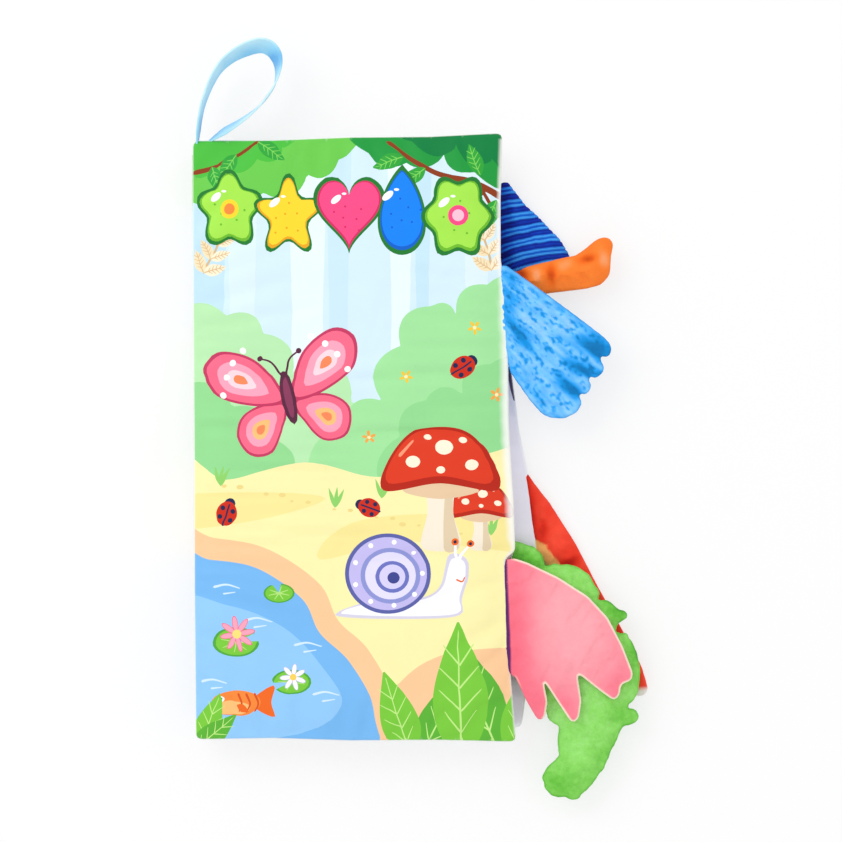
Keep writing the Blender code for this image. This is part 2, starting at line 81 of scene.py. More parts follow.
LOG = logging.getLogger("crinkle_book")
MM = 0.001
# Pale white of the painted highlight along the leaves' rolled edges.
HIGHLIGHT_WHITE = "F8F8F4"
Values = np.ndarray
Points = np.ndarray
Pair = tuple[float, float]
Colour = tuple[float, float, float]
Spot = Sequence[float]
Corners = Sequence[Spot]
Piece = bpy.types.Object
Socket = bpy.types.NodeSocket


# Colour


def hex_colour(code: str) -> Colour:
    """Turn a six-digit sRGB code, such as "4BBF3F", into linear red, green and blue."""
    parts = [int(code[i : i + 2], 16) / 255 for i in (0, 2, 4)]
    return tuple(c / 12.92 if c <= 0.04045 else ((c + 0.055) / 1.055) ** 2.4 for c in parts)


def ramp(shares: Values, codes: Sequence[str], stops: Sequence[float] | None = None) -> Points:
    """Return colours between others.

    Args:
        shares: where each wanted colour lies.
        codes: the given colours.
        stops: where they lie, or none where they are evenly spaced from 0 to 1.

    Returns:
        A linear colour a share.
    """
    at = np.linspace(0, 1, len(codes)) if stops is None else stops
    given = np.array([hex_colour(code) for code in codes])
    return np.stack([np.interp(shares, at, given[:, k]) for k in range(3)], 1)


def mixed(colours: Points, share: Values, code: str) -> Points:
    """Return colours with a share of another mixed in."""
    return colours * (1 - share[:, None]) + share[:, None] * hex_colour(code)


# Plane shapes


def smooth_curve(corners: Corners, steps: int = 8, closed: bool = False) -> Points:
    """Draw a smooth curve through a few points.

    Args:
        corners: the points, in order.
        steps: points drawn from each corner to the next.
        closed: whether the last corner runs on to the first.

    Returns:
        The curve's points.
    """
    base = np.asarray(corners, float)
    if closed:
        padded = np.vstack([base[-1:], base, base[:2]])
    else:
        padded = np.vstack([2 * base[0] - base[1], base, 2 * base[-1] - base[-2]])
    before, here, ahead, far = (padded[k : len(padded) - 3 + k] for k in range(4))
    drawn = [
        here
        + (ahead - before) * s / 2
        + (2 * before - 5 * here + 4 * ahead - far) * s**2 / 2
        + (3 * here - before - 3 * ahead + far) * s**3 / 2
        for s in np.arange(steps) / steps
    ]
    line = np.stack(drawn, 1).reshape(-1, 2)
    return line if closed else np.vstack([line, base[-1:]])


def limited(values: Values) -> Values:
    """Return values kept between 0 and 1."""
    return np.clip(values, 0, 1)


def around(angles: Values) -> Points:
    """Return the points at such angles around the origin, one unit out."""
    return np.stack([np.cos(angles), np.sin(angles)], 1)


def unit(vectors: Points) -> Points:
    """Return vectors of length one that point the same ways."""
    return vectors / np.maximum(np.linalg.norm(vectors, axis=1), 1e-18)[:, None]


def cross(a: Points, b: Points) -> Values:
    """Return the cross product of vectors of the plane."""
    return a[:, 0] * b[:, 1] - a[:, 1] * b[:, 0]


def area_of(loop: Points) -> float:
    """Return a loop's signed area, positive when it runs counter-clockwise."""
    return float(cross(loop, np.roll(loop, -1, 0)).sum() / 2)


def even_loop(loop: Points, spacing: float) -> Points:
    """Return a loop with its points at an even spacing.

    Args:
        loop: the loop's points.
        spacing: the distance wanted between neighbours.

    Returns:
        The new points, in the same direction.
    """
    closed = np.vstack([loop, loop[:1]])
    run = np.concatenate([[0], np.cumsum(np.linalg.norm(np.diff(closed, axis=0), axis=1))])
    count = max(int(round(run[-1] / spacing)), 8)
    at = np.linspace(0, run[-1], count, endpoint=False)
    return np.stack([np.interp(at, run, closed[:, k]) for k in (0, 1)], 1)


def nearest_side(points: Points, loop: Points) -> tuple[Values, Values]:
    """Return how far points are from a loop, and how far along it.

    Args:
        points: the points.
        loop: the loop.

    Returns:
        Each point's distance to the loop, and the way along it to the nearest place.
    """
    sides = np.roll(loop, -1, 0) - loop
    squares = np.maximum((sides**2).sum(1), 1e-18)
    lengths = np.sqrt(squares)
    starts = np.cumsum(lengths) - lengths
    away, arc = [np.zeros(0)], [np.zeros(0)]
    for part in batches(points):
        gap = part[:, None] - loop
        share = limited((gap * sides).sum(2) / squares)
        squared = ((gap - share[:, :, None] * sides) ** 2).sum(2)
        best = squared.argmin(1)
        rows = np.arange(len(part))
        away.append(np.sqrt(squared[rows, best]))
        arc.append(starts[best] + share[rows, best] * lengths[best])
    return np.concatenate(away), np.concatenate(arc)


def side_distance(points: Points, loop: Points) -> Values:
    """Return each point's distance to a loop's nearest side."""
    return nearest_side(points, loop)[0]


def batches(points: Points, size: int = 2000) -> list[Points]:
    """Return points in batches that are small enough to compare with a whole loop."""
    return [points[i : i + size] for i in range(0, len(points), size)]


def held_by(points: Points, loop: Points) -> Values:
    """Return whether each point lies inside a loop.

    Args:
        points: the points asked about.
        loop: the loop's points.

    Returns:
        One truth value a point.
    """
    ahead = np.roll(loop, -1, 0)
    rise = np.where(ahead[:, 1] == loop[:, 1], 1, ahead[:, 1] - loop[:, 1])
    found = [np.zeros(0, bool)]
    for part in batches(points):
        x, y = part[:, :1], part[:, 1:]
        crosses = (loop[:, 1] > y) != (ahead[:, 1] > y)
        level = loop[:, 0] + (ahead[:, 0] - loop[:, 0]) * (y - loop[:, 1]) / rise
        found.append((crosses & (x < level)).sum(1) % 2 == 1)
    return np.concatenate(found)


def softened(loop: Points, spacing: float, blur: float) -> Points:
    """Return a loop with its corners a little rounded.

    Args:
        loop: the loop's points.
        spacing: distance between the new points.
        blur: how far the rounding reaches.

    Returns:
        The new points, at an even spacing.
    """
    fine = even_loop(loop, spacing)
    reach = int(3 * blur / spacing) + 1
    weights = np.exp(-((np.arange(-reach, reach + 1) * spacing / blur) ** 2) / 2)
    moved = sum(w * np.roll(fine, k, 0) for k, w in zip(range(-reach, reach + 1), weights))
    return even_loop(moved / weights.sum(), spacing)


def inward_of(loop: Points) -> Points:
    """Return the way inward at each point of a counter-clockwise loop."""
    along = unit(np.roll(loop, -1, 0) - np.roll(loop, 1, 0))
    return np.stack([-along[:, 1], along[:, 0]], 1)


def ring_inside(loop: Points, distance: float) -> Points:
    """Return points so far inside a loop, where there is room for them.

    Args:
        loop: the loop, counter-clockwise and evenly spaced.
        distance: how far in the ring lies.

    Returns:
        The ring's points.
    """
    moved = loop + inward_of(loop) * distance
    good = held_by(moved, loop) & (side_distance(moved, loop) > distance * 0.94)
    return moved[good]


def grid_inside(loop: Points, spacing: float, margin: float) -> Points:
    """Return a triangular grid of points inside a loop.

    Args:
        loop: the loop's points.
        spacing: distance between neighbours in the grid.
        margin: least distance from the loop.

    Returns:
        The grid's points.
    """
    low, high = loop.min(0), loop.max(0)
    points = []
    for number, y in enumerate(np.arange(low[1], high[1], spacing * math.sin(math.pi / 3))):
        xs = np.arange(low[0] + (number % 2) * spacing / 2, high[0], spacing)
        points += [(x, y) for x in xs]
    grid = np.array(points)
    grid = grid[held_by(grid, loop)]
    return grid[side_distance(grid, loop) > margin]


# Printed motifs


class Print:
    """A picture built from patches laid over each other, each an outline and its colour.

    A spot is a place in hundredths of the page: across from the spine, and up from the foot.

    Args:
        width: the page's width.
        height: the page's height.
        ground: colour of the page under the patches.
    """

    LOBE_STEPS = 9

    def __init__(self, width: float, height: float, ground: str) -> None:
        """Start an empty print."""
        self.size = np.array([width, height])
        self.ground = hex_colour(ground)
        self.patches: list[tuple[Points, Colour]] = []

    def at(self, spots: Corners) -> Points:
        """Return the places of spots on the page."""
        return (np.array(spots) / 100 - 0.5) * self.size

    def near(self, spot: Spot, steps_mm: Corners) -> Points:
        """Return the spots that lie such steps away from a spot."""
        return np.array(spot) + np.array(steps_mm) * MM / self.size * 100

    def add(self, loop: Corners, code: str) -> None:
        """Lay a patch on top of the others.

        Args:
            loop: its outline, as places on the page.
            code: its colour.
        """
        points = np.asarray(loop, float)
        self.patches.append((points if area_of(points) >= 0 else points[::-1], hex_colour(code)))

    def shape(self, spots: Corners, code: str, steps: int = 6) -> None:
        """Lay a smooth patch through spots."""
        self.add(smooth_curve(self.at(spots), steps, True), code)

    def disc(self, spot: Spot, radius_mm: float, code: str, squash: float = 1, turn: float = 0) -> None:
        """Lay an ellipse.

        Args:
            spot: its middle.
            radius_mm: its half length.
            code: its colour.
            squash: its width as a share of its length.
            turn: angle of its length from the page's width, in degrees.
        """
        count = max(int(radius_mm * 5), 14)
        rim = around(np.arange(count) * 2 * math.pi / count) * (1, squash) * radius_mm * MM
        self.add(turned(rim, turn) + self.at(spot), code)

    def stroke(self, spots: Corners, width_mm: float, code: str, taper: float = 1, steps: int = 8) -> None:
        """Lay a line of paint through spots.

        Args:
            spots: the spots.
            width_mm: the line's width at its start.
            code: its colour.
            taper: its width at the end, as a share of that at the start.
            steps: points drawn from each spot to the next.
        """
        line = smooth_curve(self.at(spots), steps)
        along = unit(np.gradient(line, axis=0))
        side = np.stack([-along[:, 1], along[:, 0]], 1)
        half = np.linspace(1, taper, len(line))[:, None] * width_mm * MM / 2
        cap = line[-1:] + along[-1:] * half[-1]
        start = line[:1] - along[:1] * half[0]
        self.add(np.vstack([start, line - side * half, cap, (line + side * half)[::-1]]), code)

    def scallops(self, spots: Corners, bulge: float, code: str, straight: int = 0) -> None:
        """Lay a patch whose sides swell in rounded lobes.

        Args:
            spots: the corners between lobes, counter-clockwise.
            bulge: each lobe's height as a share of its length.
            code: its colour.
            straight: how many of the first sides have no lobe.
        """
        places = self.at(spots)
        loop = []
        for number, (a, b) in enumerate(zip(places, np.roll(places, -1, 0))):
            out = np.array([(b - a)[1], -(b - a)[0]]) * (bulge if number >= straight else 0)
            for s in np.arange(self.LOBE_STEPS) / self.LOBE_STEPS:
                loop.append(a + (b - a) * s + out * math.sin(math.pi * s) ** 0.8)
        self.add(loop, code)

    def leaf(self, spot: Spot, length_mm: float, turn: float, code: str, vein: str,
             wide: float = 0.45) -> None:
        """Lay a pointed leaf with a midrib and side veins.

        Args:
            spot: its foot.
            length_mm: its length.
            turn: the way it points, in degrees from the page's width.
            code: its colour.
            vein: colour of its veins, or none.
            wide: its width as a share of its length.
        """
        s = np.linspace(0, 1, 22)
        half = wide / 2 * np.sin(math.pi * s**0.8) * (1 - 0.15 * s)
        blade = np.vstack([np.stack([s, -half], 1), np.stack([s, half], 1)[-2:0:-1]])
        self.add(turned(blade * length_mm * MM, turn) + self.at(spot), code)
        if not vein:
            return
        ribs = [(((0.02, 0), (0.5, 0.008), (0.93, 0)), 1, 6)]
        for x in (0.2, 0.36, 0.52, 0.68):
            reach = wide * 0.36 * math.sin(math.pi * x**0.8)
            for side in (-reach, reach):
                ribs.append((((x, 0), (x + 0.09, side * 0.6), (x + 0.15, side)), 0.8, 3))
        for shares, thick, steps in ribs:
            line = self.near(spot, turned(shares, turn) * length_mm)
            self.stroke(line, max(length_mm * 0.016, 0.45) * thick, vein, 0.5, steps)

    def blossom(self, spot: Spot, radius_mm: float, petals: int, code: str, middle: str,
                turn: float = 0, edge: str = "") -> None:
        """Lay a round-petalled flower.

        Args:
            spot: its middle.
            radius_mm: its radius to the petals' tips.
            petals: how many petals it has.
            code: the petals' colour.
            middle: colour of its middle.
            turn: angle of the first petal, in degrees.
            edge: colour of a darker rim behind each petal, or none.
        """
        squash = min(0.8, 2.6 / petals)
        for angle in turn + np.arange(petals) * 360 / petals:
            petal = self.near(spot, turned((radius_mm * 0.58, 0), angle))
            if edge:
                self.disc(petal, radius_mm * 0.47, edge, squash * 1.12, angle)
            self.disc(petal, radius_mm * 0.42, code, squash, angle)
        self.disc(spot, radius_mm * 0.26, middle)

    def lines_inside(self, rim: Points, inset: float) -> tuple[Points, list[tuple[int, int]]]:
        """Return the patches' outlines, kept inside a piece's outline.

        Args:
            rim: the piece's outline.
            inset: least distance from it.

        Returns:
            The points of the lines, and the pairs of points that they join.
        """
        points: list[Values] = []
        sides: list[tuple[int, int]] = []
        fence = rim + inward_of(rim) * inset
        for patch, _ in self.patches:
            length = np.linalg.norm(np.diff(patch, axis=0), axis=1).sum()
            loop = even_loop(patch, min(max(length / 24, 0.5 * MM), 1.6 * MM))
            out = ~held_by(loop, rim) | (side_distance(loop, rim) < inset)
            if out.all():
                continue
            for number in np.flatnonzero(out):
                loop[number] = fence[np.linalg.norm(fence - loop[number], axis=1).argmin()]
            loop = loop[np.linalg.norm(loop - np.roll(loop, 1, 0), axis=1) > 0.02 * MM]
            start, count = sum(len(part) for part in points), len(loop)
            points.append(loop)
            sides += [(start + i, start + (i + 1) % count) for i in range(count)]
        return np.vstack(points), sides

    def colours(self, centres: Points) -> Points:
        """Return the topmost patch's colour at each point.

        Args:
            centres: the points.

        Returns:
            A linear colour a point.
        """
        found = np.tile(self.ground, (len(centres), 1))
        for loop, colour in self.patches:
            near = np.flatnonzero(((centres >= loop.min(0)) & (centres <= loop.max(0))).all(1))
            if len(near):
                found[near[held_by(centres[near], loop)]] = colour
        return found


def turned(points: Corners, degrees: float) -> Points:
    """Return points turned counter-clockwise about the origin."""
    c, s = math.cos(math.radians(degrees)), math.sin(math.radians(degrees))
    return np.asarray(points) @ np.array([[c, s], [-s, c]])


# Finishes


class Weave(Enum):
    """Ways in which a fabric's surface is made."""

    SATIN = "satin"
    PILE = "pile"
    FELT = "felt"
    FILM = "film"


class Shader:
    """A material's nodes, with short ways to add to them.

    Args:
        name: the material's name.
    """

    def __init__(self, name: str) -> None:
        """Start from a bare Principled shader."""
        self.material = bpy.data.materials.new(name)
        self.material.use_nodes = True
        self.tree = self.material.node_tree
        self.surface = self.tree.nodes["Principled BSDF"]

    def add(self, kind: str, sockets: dict, **settings: str) -> bpy.types.Node:
        """Add a node.

        Args:
            kind: its type, without the ShaderNode in front.
            sockets: a value or another node's output for each named input.
            settings: values of the node's own settings.

        Returns:
            The node.
        """
        node = self.tree.nodes.new(f"ShaderNode{kind}")
        for key, value in settings.items():
            setattr(node, key, value)
        self.plug(node, sockets)
        return node

    def plug(self, node: bpy.types.Node, sockets: dict) -> None:
        """Set or link a node's inputs.

        Args:
            node: the node.
            sockets: a value or another node's output for each named input.
        """
        for key, value in sockets.items():
            if isinstance(value, Socket):
                self.tree.links.new(value, node.inputs[key])
            else:
                node.inputs[key].default_value = value

    def maths(self, operation: str, *values: object) -> Socket:
        """Add a sum of one or two values and return its result."""
        return self.add("Math", dict(enumerate(values)), operation=operation).outputs[0]

    def noise(self, place: Socket, size_mm: float, detail: float = 2, distortion: float = 0) -> Socket:
        """Add a noise with blotches of such a size, and return its value around a half."""
        sockets = {"Vector": place, "Scale": 1 / (size_mm * MM), "Detail": detail, "Distortion": distortion}
        return self.add("TexNoise", sockets).outputs["Fac"]

    def wave(self, place: Socket, pitch_mm: float, direction: str, distortion: float = 0) -> Socket:
        """Add even threads that cross an axis.

        Args:
            place: the place that they are read at.
            pitch_mm: from one thread to the next.
            direction: the axis that they cross.
            distortion: how far they waver.

        Returns:
            Their height.
        """
        sockets = {"Vector": place, "Scale": math.pi / 10 / (pitch_mm * MM),
                   "Distortion": distortion, "Detail": 1}
        return self.add("TexWave", sockets, bands_direction=direction).outputs["Fac"]


@dataclass(frozen=True)
class Fabric:
    """A cloth, coloured by the colours stored on its mesh, with painted light and shade on some pieces.

    Args:
        weave: how its surface is made.
        pitch_mm: distance between threads, or size of a tuft.
        depth_mm: height of the threads or tufts.
        roughness: how matt it is.
        sheen: strength of its soft rim light.
        mottle: how much its brightness varies.
        mottle_mm: size of the lighter and darker places.
        grain: how much those places stretch along X and Y.
        turn: angle of the grain, in degrees.
        crease_mm: height of its soft creases.
        crease_pitch_mm: distance between them.
    """

    weave: Weave
    pitch_mm: float
    depth_mm: float
    roughness: float = 0.7
    sheen: float = 0.2
    mottle: float = 0.08
    mottle_mm: float = 6
    grain: Pair = (1, 1)
    turn: float = 0
    crease_mm: float = 0
    crease_pitch_mm: float = 12

    def make(self, name: str, tint: Colour | None = None) -> bpy.types.Material:
        """Build the material.

        Args:
            name: its name.
            tint: its colour, where the mesh stores none.

        Returns:
            The material.
        """
        shader = Shader(name)
        place = shader.add("TexCoord", {}).outputs["Object"]
        turned_place = shader.add(
            "Mapping",
            {"Vector": place, "Rotation": (0, 0, -math.radians(self.turn)),
             "Scale": (1 / self.grain[0], 1 / self.grain[1], 1)},
        ).outputs["Vector"]
        dye_and_painted_light = shader.add("VertexColor", {}, layer_name="dye_and_painted_light").outputs["Color"]
        if tint:
            dye_and_painted_light = (*tint, 1)
        blotch = shader.noise(turned_place, self.mottle_mm, 5, 0.4)
        tuft = self.surface_height(shader, place)
        bright = shader.maths("MULTIPLY_ADD", blotch, 2.4 * self.mottle, 1 - 1.2 * self.mottle)
        # Painted shade: the colour is darker between the threads or tufts, where their height is low.
        fine = shader.maths("MULTIPLY_ADD", tuft, self.contrast(), 1 - self.contrast() * 0.6)
        value = shader.maths("MULTIPLY", bright, fine)
        colour = shader.add("HueSaturation", {"Color": dye_and_painted_light, "Value": value}).outputs[0]
        gloss = shader.maths("MULTIPLY_ADD", blotch, 0.16, self.roughness - 0.08)
        normal = shader.add(
            "Bump", {"Height": tuft, "Distance": self.depth_mm * MM, "Strength": 1}
        ).outputs[0]
        if self.crease_mm:
            folds = shader.noise(turned_place, self.crease_pitch_mm, 2, 0.6)
            normal = shader.add(
                "Bump", {"Height": folds, "Distance": self.crease_mm * MM, "Normal": normal}
            ).outputs[0]
        shader.plug(
            shader.surface,
            {"Base Color": colour, "Roughness": gloss, "Normal": normal,
             "Sheen Weight": self.sheen, "Sheen Roughness": 0.4, "Specular IOR Level": 0.2},
        )
        return shader.material

    def contrast(self) -> float:
        """Return how much painted shade darkens the cloth between its threads or tufts."""
        return {Weave.SATIN: 0.02, Weave.FILM: 0.05}.get(self.weave, 0.2)

    def surface_height(self, shader: Shader, place: Socket) -> Socket:
        """Return the height of the threads or tufts.

        Args:
            shader: the material being built.
            place: where the height is read.

        Returns:
            The height, from 0 to 1.
        """
        if self.weave is Weave.SATIN:
            warp = shader.wave(place, self.pitch_mm, "X", 0.6)
            weft = shader.wave(place, self.pitch_mm * 1.7, "Y", 0.6)
            return shader.maths("MULTIPLY_ADD", weft, 0.35, shader.maths("MULTIPLY", warp, 0.65))
        if self.weave is Weave.FILM:
            return shader.add(
                "TexVoronoi", {"Vector": place, "Scale": 1 / (self.pitch_mm * MM)}
            ).outputs["Distance"]
        swirl = 2.5 if self.weave is Weave.FELT else 0.3
        return shader.noise(place, self.pitch_mm, 3, swirl)


class Cloths(Enum):
    """The book's fabrics."""

    PRINT = Fabric(Weave.SATIN, 0.26, 0.02, 0.5, 0.12, 0.03, 18, crease_mm=0.5, crease_pitch_mm=16)
    RIBBED = Fabric(Weave.PILE, 0.5, 0.16, 0.8, 0.08, 0.12, 3, (2, 0.6), 6)
    VELOUR = Fabric(Weave.PILE, 0.4, 0.1, 0.8, 0.12, 0.07, 6, (2, 0.8))
    FLEECE = Fabric(Weave.PILE, 0.7, 0.3, 0.9, 0.15, 0.08, 2.6)
    CRUSHED = Fabric(Weave.PILE, 0.5, 0.1, 0.7, 0.1, 0.14, 1.8, (2.6, 0.8), -42,
                     crease_mm=0.4, crease_pitch_mm=5)
    FELT = Fabric(Weave.FELT, 0.9, 0.12, 0.9, 0.15, 0.05, 5, (0.9, 1.8))
    RIBBON = Fabric(Weave.SATIN, 0.35, 0.04, 0.4, 0.15, 0.06, 4)
    WADDING = Fabric(Weave.FELT, 1.4, 0.4, 0.95, 0.2, 0.08, 5)
    FILM = Fabric(Weave.FILM, 7, 0.9, 0.2, 0, 0.08, 9)


# Meshes


def placed(name: str, data: bpy.types.ID) -> Piece:
    """Make an object.

    Args:
        name: its name.
        data: its mesh, lamp or camera.

    Returns:
        The object, linked to the scene.
    """
    made = bpy.data.objects.new(name, data)
    bpy.context.scene.collection.objects.link(made)
    return made


def blank_mesh(name: str, places: Points, faces: Sequence[Sequence[int]], dyes_and_painted_light: Values,
               edge_highlight: Values | None = None) -> Piece:
    """Make an object from places, faces and their colours.

    Args:
        name: the object's name.
        places: its vertices.
        faces: its faces, as vertex numbers.
        dyes_and_painted_light: a linear colour a face where worn is given, or else a vertex, painted light
            included.
        edge_highlight: how far the painted highlight along a rolled edge lightens each vertex, from 0 to 1.

    Returns:
        The object, linked to the scene and shaded smooth.
    """
    data = bpy.data.meshes.new(name)
    data.from_pydata([tuple(map(float, p)) for p in places], [], [list(map(int, f)) for f in faces])
    stored = np.asarray(dyes_and_painted_light, float)
    # Painted highlight: pale white is mixed into the corners along a rolled edge.
    if edge_highlight is not None:
        stored = np.repeat(stored, [len(f) for f in faces], axis=0)
        stored = mixed(stored, edge_highlight[np.concatenate(faces)], HIGHLIGHT_WHITE)
    layer = data.color_attributes.new("dye_and_painted_light", "FLOAT_COLOR", "POINT" if edge_highlight is None else "CORNER")
    layer.data.foreach_set("color", np.hstack([stored, np.ones((len(stored), 1))]).ravel())
    data.shade_smooth()
    data.validate()
    return placed(name, data)


def tube_faces(rings: int, size: int) -> list[tuple[int, ...]]:
    """Return the faces of a closed tube.

    Args:
        rings: how many rings of vertices it has.
        size: how many vertices a ring has.

    Returns:
        The faces, those of its two ends last.
    """
    faces = [
        (r * size + c, r * size + (c + 1) % size, (r + 1) * size + (c + 1) % size, (r + 1) * size + c)
        for r in range(rings - 1)
        for c in range(size)
    ]
    return faces + [tuple(range(size))[::-1], tuple((rings - 1) * size + c for c in range(size))]


def node_outline(node: Piece) -> Points:
    """Return the outline of a solid's upper face.

    Args:
        node: the solid's object.

    Returns:
        The outline's points, counter-clockwise from above.
    """
    sides = set()
    for face in node.data.polygons:
        if face.normal.z >= 0.5:
            spots = [node.data.vertices[v].co[:2] for v in face.vertices]
            corners = [tuple(round(c * 1e6) for c in spot) for spot in spots]
            sides |= set(zip(corners, corners[1:] + corners[:1]))
    ahead = {a: b for a, b in sides if (b, a) not in sides}
    start = min(ahead)
    loop = [start]
    while ahead[loop[-1]] != start:
        loop.append(ahead[loop[-1]])
    return np.array(loop) * 1e-6


def speckle(places: Points, pitch_mm: float, seed: float) -> Values:
    """Return smooth noise between -1 and 1 at places.

    Args:
        places: the places, in the plane or in space.
        pitch_mm: size of its bumps.
        seed: picks one noise of many.

    Returns:
        One value a place.
    """
    flat = np.hstack([places / (pitch_mm * MM), np.full((len(places), 3 - places.shape[1]), seed)])
    shift = Vector((seed * 3.1, seed * 1.7, seed * 2.3))
    return np.array([noise.noise(Vector(p) + shift) for p in flat])


def triangles_in(loop: Points, points: Points, sides: Sequence[tuple[int, int]]) -> tuple[Points, Values]:
    """Fill a loop with triangles through given points and sides.

    Args:
        loop: the loop, counter-clockwise.
        points: points inside it.
        sides: pairs of those points that are to be joined.

    Returns:
        The points, those of the loop first, and the triangles.
    """
    count = len(loop)
    every = [Vector(p) for p in np.vstack([loop, points]) / MM]
    joined = [(a + count, b + count) for a, b in sides]
    found = delaunay_2d_cdt(every, joined, [list(range(count))], 1, 0.004)
    places = np.array([tuple(p) for p in found[0]]) * MM
    order = np.array([min((o for o in origins if o < count), default=-1) for origins in found[3]])
    rest = np.flatnonzero(order < 0)
    order[rest] = count + np.arange(len(rest))
    moved = np.zeros((count + len(rest), 2))
    moved[order] = places
    faces = order[np.array(found[2])]
    a, b, c = (moved[faces[:, k]] for k in range(3))
    areas = cross(b - a, c - a)
    faces[areas < 0] = faces[areas < 0][:, ::-1]
    return moved, faces[np.abs(areas) > 1e-14]


# Stuffed forms


class Side(Enum):
    """The two faces of a stuffed piece."""

    UPPER = 1
    LOWER = -1


@dataclass(frozen=True)
class Puffiness:
    """How a stuffed piece swells and wrinkles.

    Args:
        half: half its thickness.
        edge: half its thickness just inside the rolled seam.
        roll: width of the rolled seam.
        run: how far in from the seam it reaches its full thickness.
        pucker: height of the gathers along the seam.
        pucker_pitch_mm: distance from one gather to the next.
        wave: height of the broad soft waves.
        wave_pitch_mm: distance between those waves.
    """

    half: float
    edge: float = 0.75 * MM
    roll: float = 0.9 * MM
    run: float = 14 * MM
    pucker: float = 0.3 * MM
    pucker_pitch_mm: float = 7
    wave: float = 0.3 * MM
    wave_pitch_mm: float = 30

    def rise(self, depth: Values) -> Values:
        """Work out half the thickness.

        Args:
            depth: how far inside the seam, for each point.

        Returns:
            Half the thickness at each point.
        """
        roll = limited(depth / self.roll)
        crown = np.sin(math.pi / 2 * limited(depth / self.run))
        return self.edge * np.sqrt(1 - (1 - roll) ** 2) + (self.half - self.edge) * crown

    def wrinkles(self, points: Points, depth: Values, arc: Values, seed: float) -> Values:
        """Return the height of gathers and waves.

        Args:
            points: where, in the plane.
            depth: how far inside the seam each point is.
            arc: how far along the seam its nearest place is.
            seed: picks one set of wrinkles.

        Returns:
            One height a point, zero at the seam.
        """
        along = np.stack([arc, depth * 0.35], 1)
        pitch, wide = self.pucker_pitch_mm, self.wave_pitch_mm
        gather = speckle(along, pitch, seed) + 0.5 * speckle(along, pitch * 0.45, seed + 5)
        near = np.exp(-depth / (pitch * MM * 0.8)) * limited(depth / self.roll / 2)
        broad = speckle(points, wide, seed + 9) + 0.45 * speckle(points, wide * 0.4, seed + 13)
        inner = limited(depth / self.run * 1.4)
        return gather * near * self.pucker + broad * inner * self.wave


@dataclass(frozen=True)
class Filling:
    """A cloth case filled by a short simulation.

    Args:
        pressure: how hard the filling presses on the case.
        slack: how much longer the cloth is than its flat pattern, as a share.
        frames: how many steps the case settles for.
        most: the highest wrinkle that is kept.
        over: how far its upper face may rise past its full thickness.
        under: the same for its lower face.
        rounds: how far the broad swelling is told from the wrinkles, in rounds.
        calm: how far from the seam the cloth moves less.
    """

    pressure: float = 4
    slack: float = 0.05
    frames: int = 24
    most: float = 0.4 * MM
    over: float = 0.1 * MM
    under: float = 0.1 * MM
    rounds: int = 14
    calm: float = 4 * MM

    SCALE = 10

    def settle(self, places: Points, faces: Values, seam: int) -> Points:
        """Let a closed case swell, held along its seam.

        Args:
            places: its vertices, those of the seam first.
            faces: its faces.
            seam: how many vertices the seam has.

        Returns:
            Where its vertices come to rest.
        """
        data = bpy.data.meshes.new("case")
        data.from_pydata((places * self.SCALE).tolist(), [], faces.tolist())
        case = placed("case", data)
        case.vertex_groups.new(name="seam").add(list(range(seam)), 1, "REPLACE")
        modifier = case.modifiers.new("filling", "CLOTH")
        for key, value in {
            "quality": 5, "mass": 0.3, "air_damping": 2, "tension_stiffness": 14,
            "compression_stiffness": 14, "shear_stiffness": 5, "bending_stiffness": 0.4,
            "use_pressure": True, "uniform_pressure_force": self.pressure,
            "shrink_min": -self.slack, "vertex_group_mass": "seam",
        }.items():
            setattr(modifier.settings, key, value)
        modifier.settings.effector_weights.gravity = 0
        modifier.collision_settings.use_collision = False
        modifier.point_cache.frame_start = 1
        modifier.point_cache.frame_end = self.frames
        for number in range(1, self.frames + 1):
            bpy.context.scene.frame_set(number)
        settled = case.evaluated_get(bpy.context.evaluated_depsgraph_get()).to_mesh()
        found = np.zeros(len(places) * 3)
        settled.vertices.foreach_get("co", found)
        bpy.context.scene.frame_set(1)
        bpy.data.objects.remove(case)
        bpy.data.meshes.remove(data)
        return np.nan_to_num(found.reshape(-1, 3)) / self.SCALE

    def wrinkles(self, moves: Points, faces: Values) -> Points:
        """Return the wrinkles among a case's moves, without its broad swelling.

        Args:
            moves: how far each vertex moved.
            faces: the case's faces.

        Returns:
            How far each vertex moves for the wrinkles alone, at most the height kept.
        """
        ahead = np.roll(faces, -1, 1)
        ends, others = np.vstack([faces, ahead]).ravel(), np.vstack([ahead, faces]).ravel()
        count = np.bincount(ends, minlength=len(moves))[:, None]
        broad = moves
        for _ in range(self.rounds):
            gathered = [np.bincount(ends, broad[others, k], len(moves)) for k in range(3)]
            broad = np.stack(gathered, 1) / count
        return np.tanh((moves - broad) / self.most) * self.most


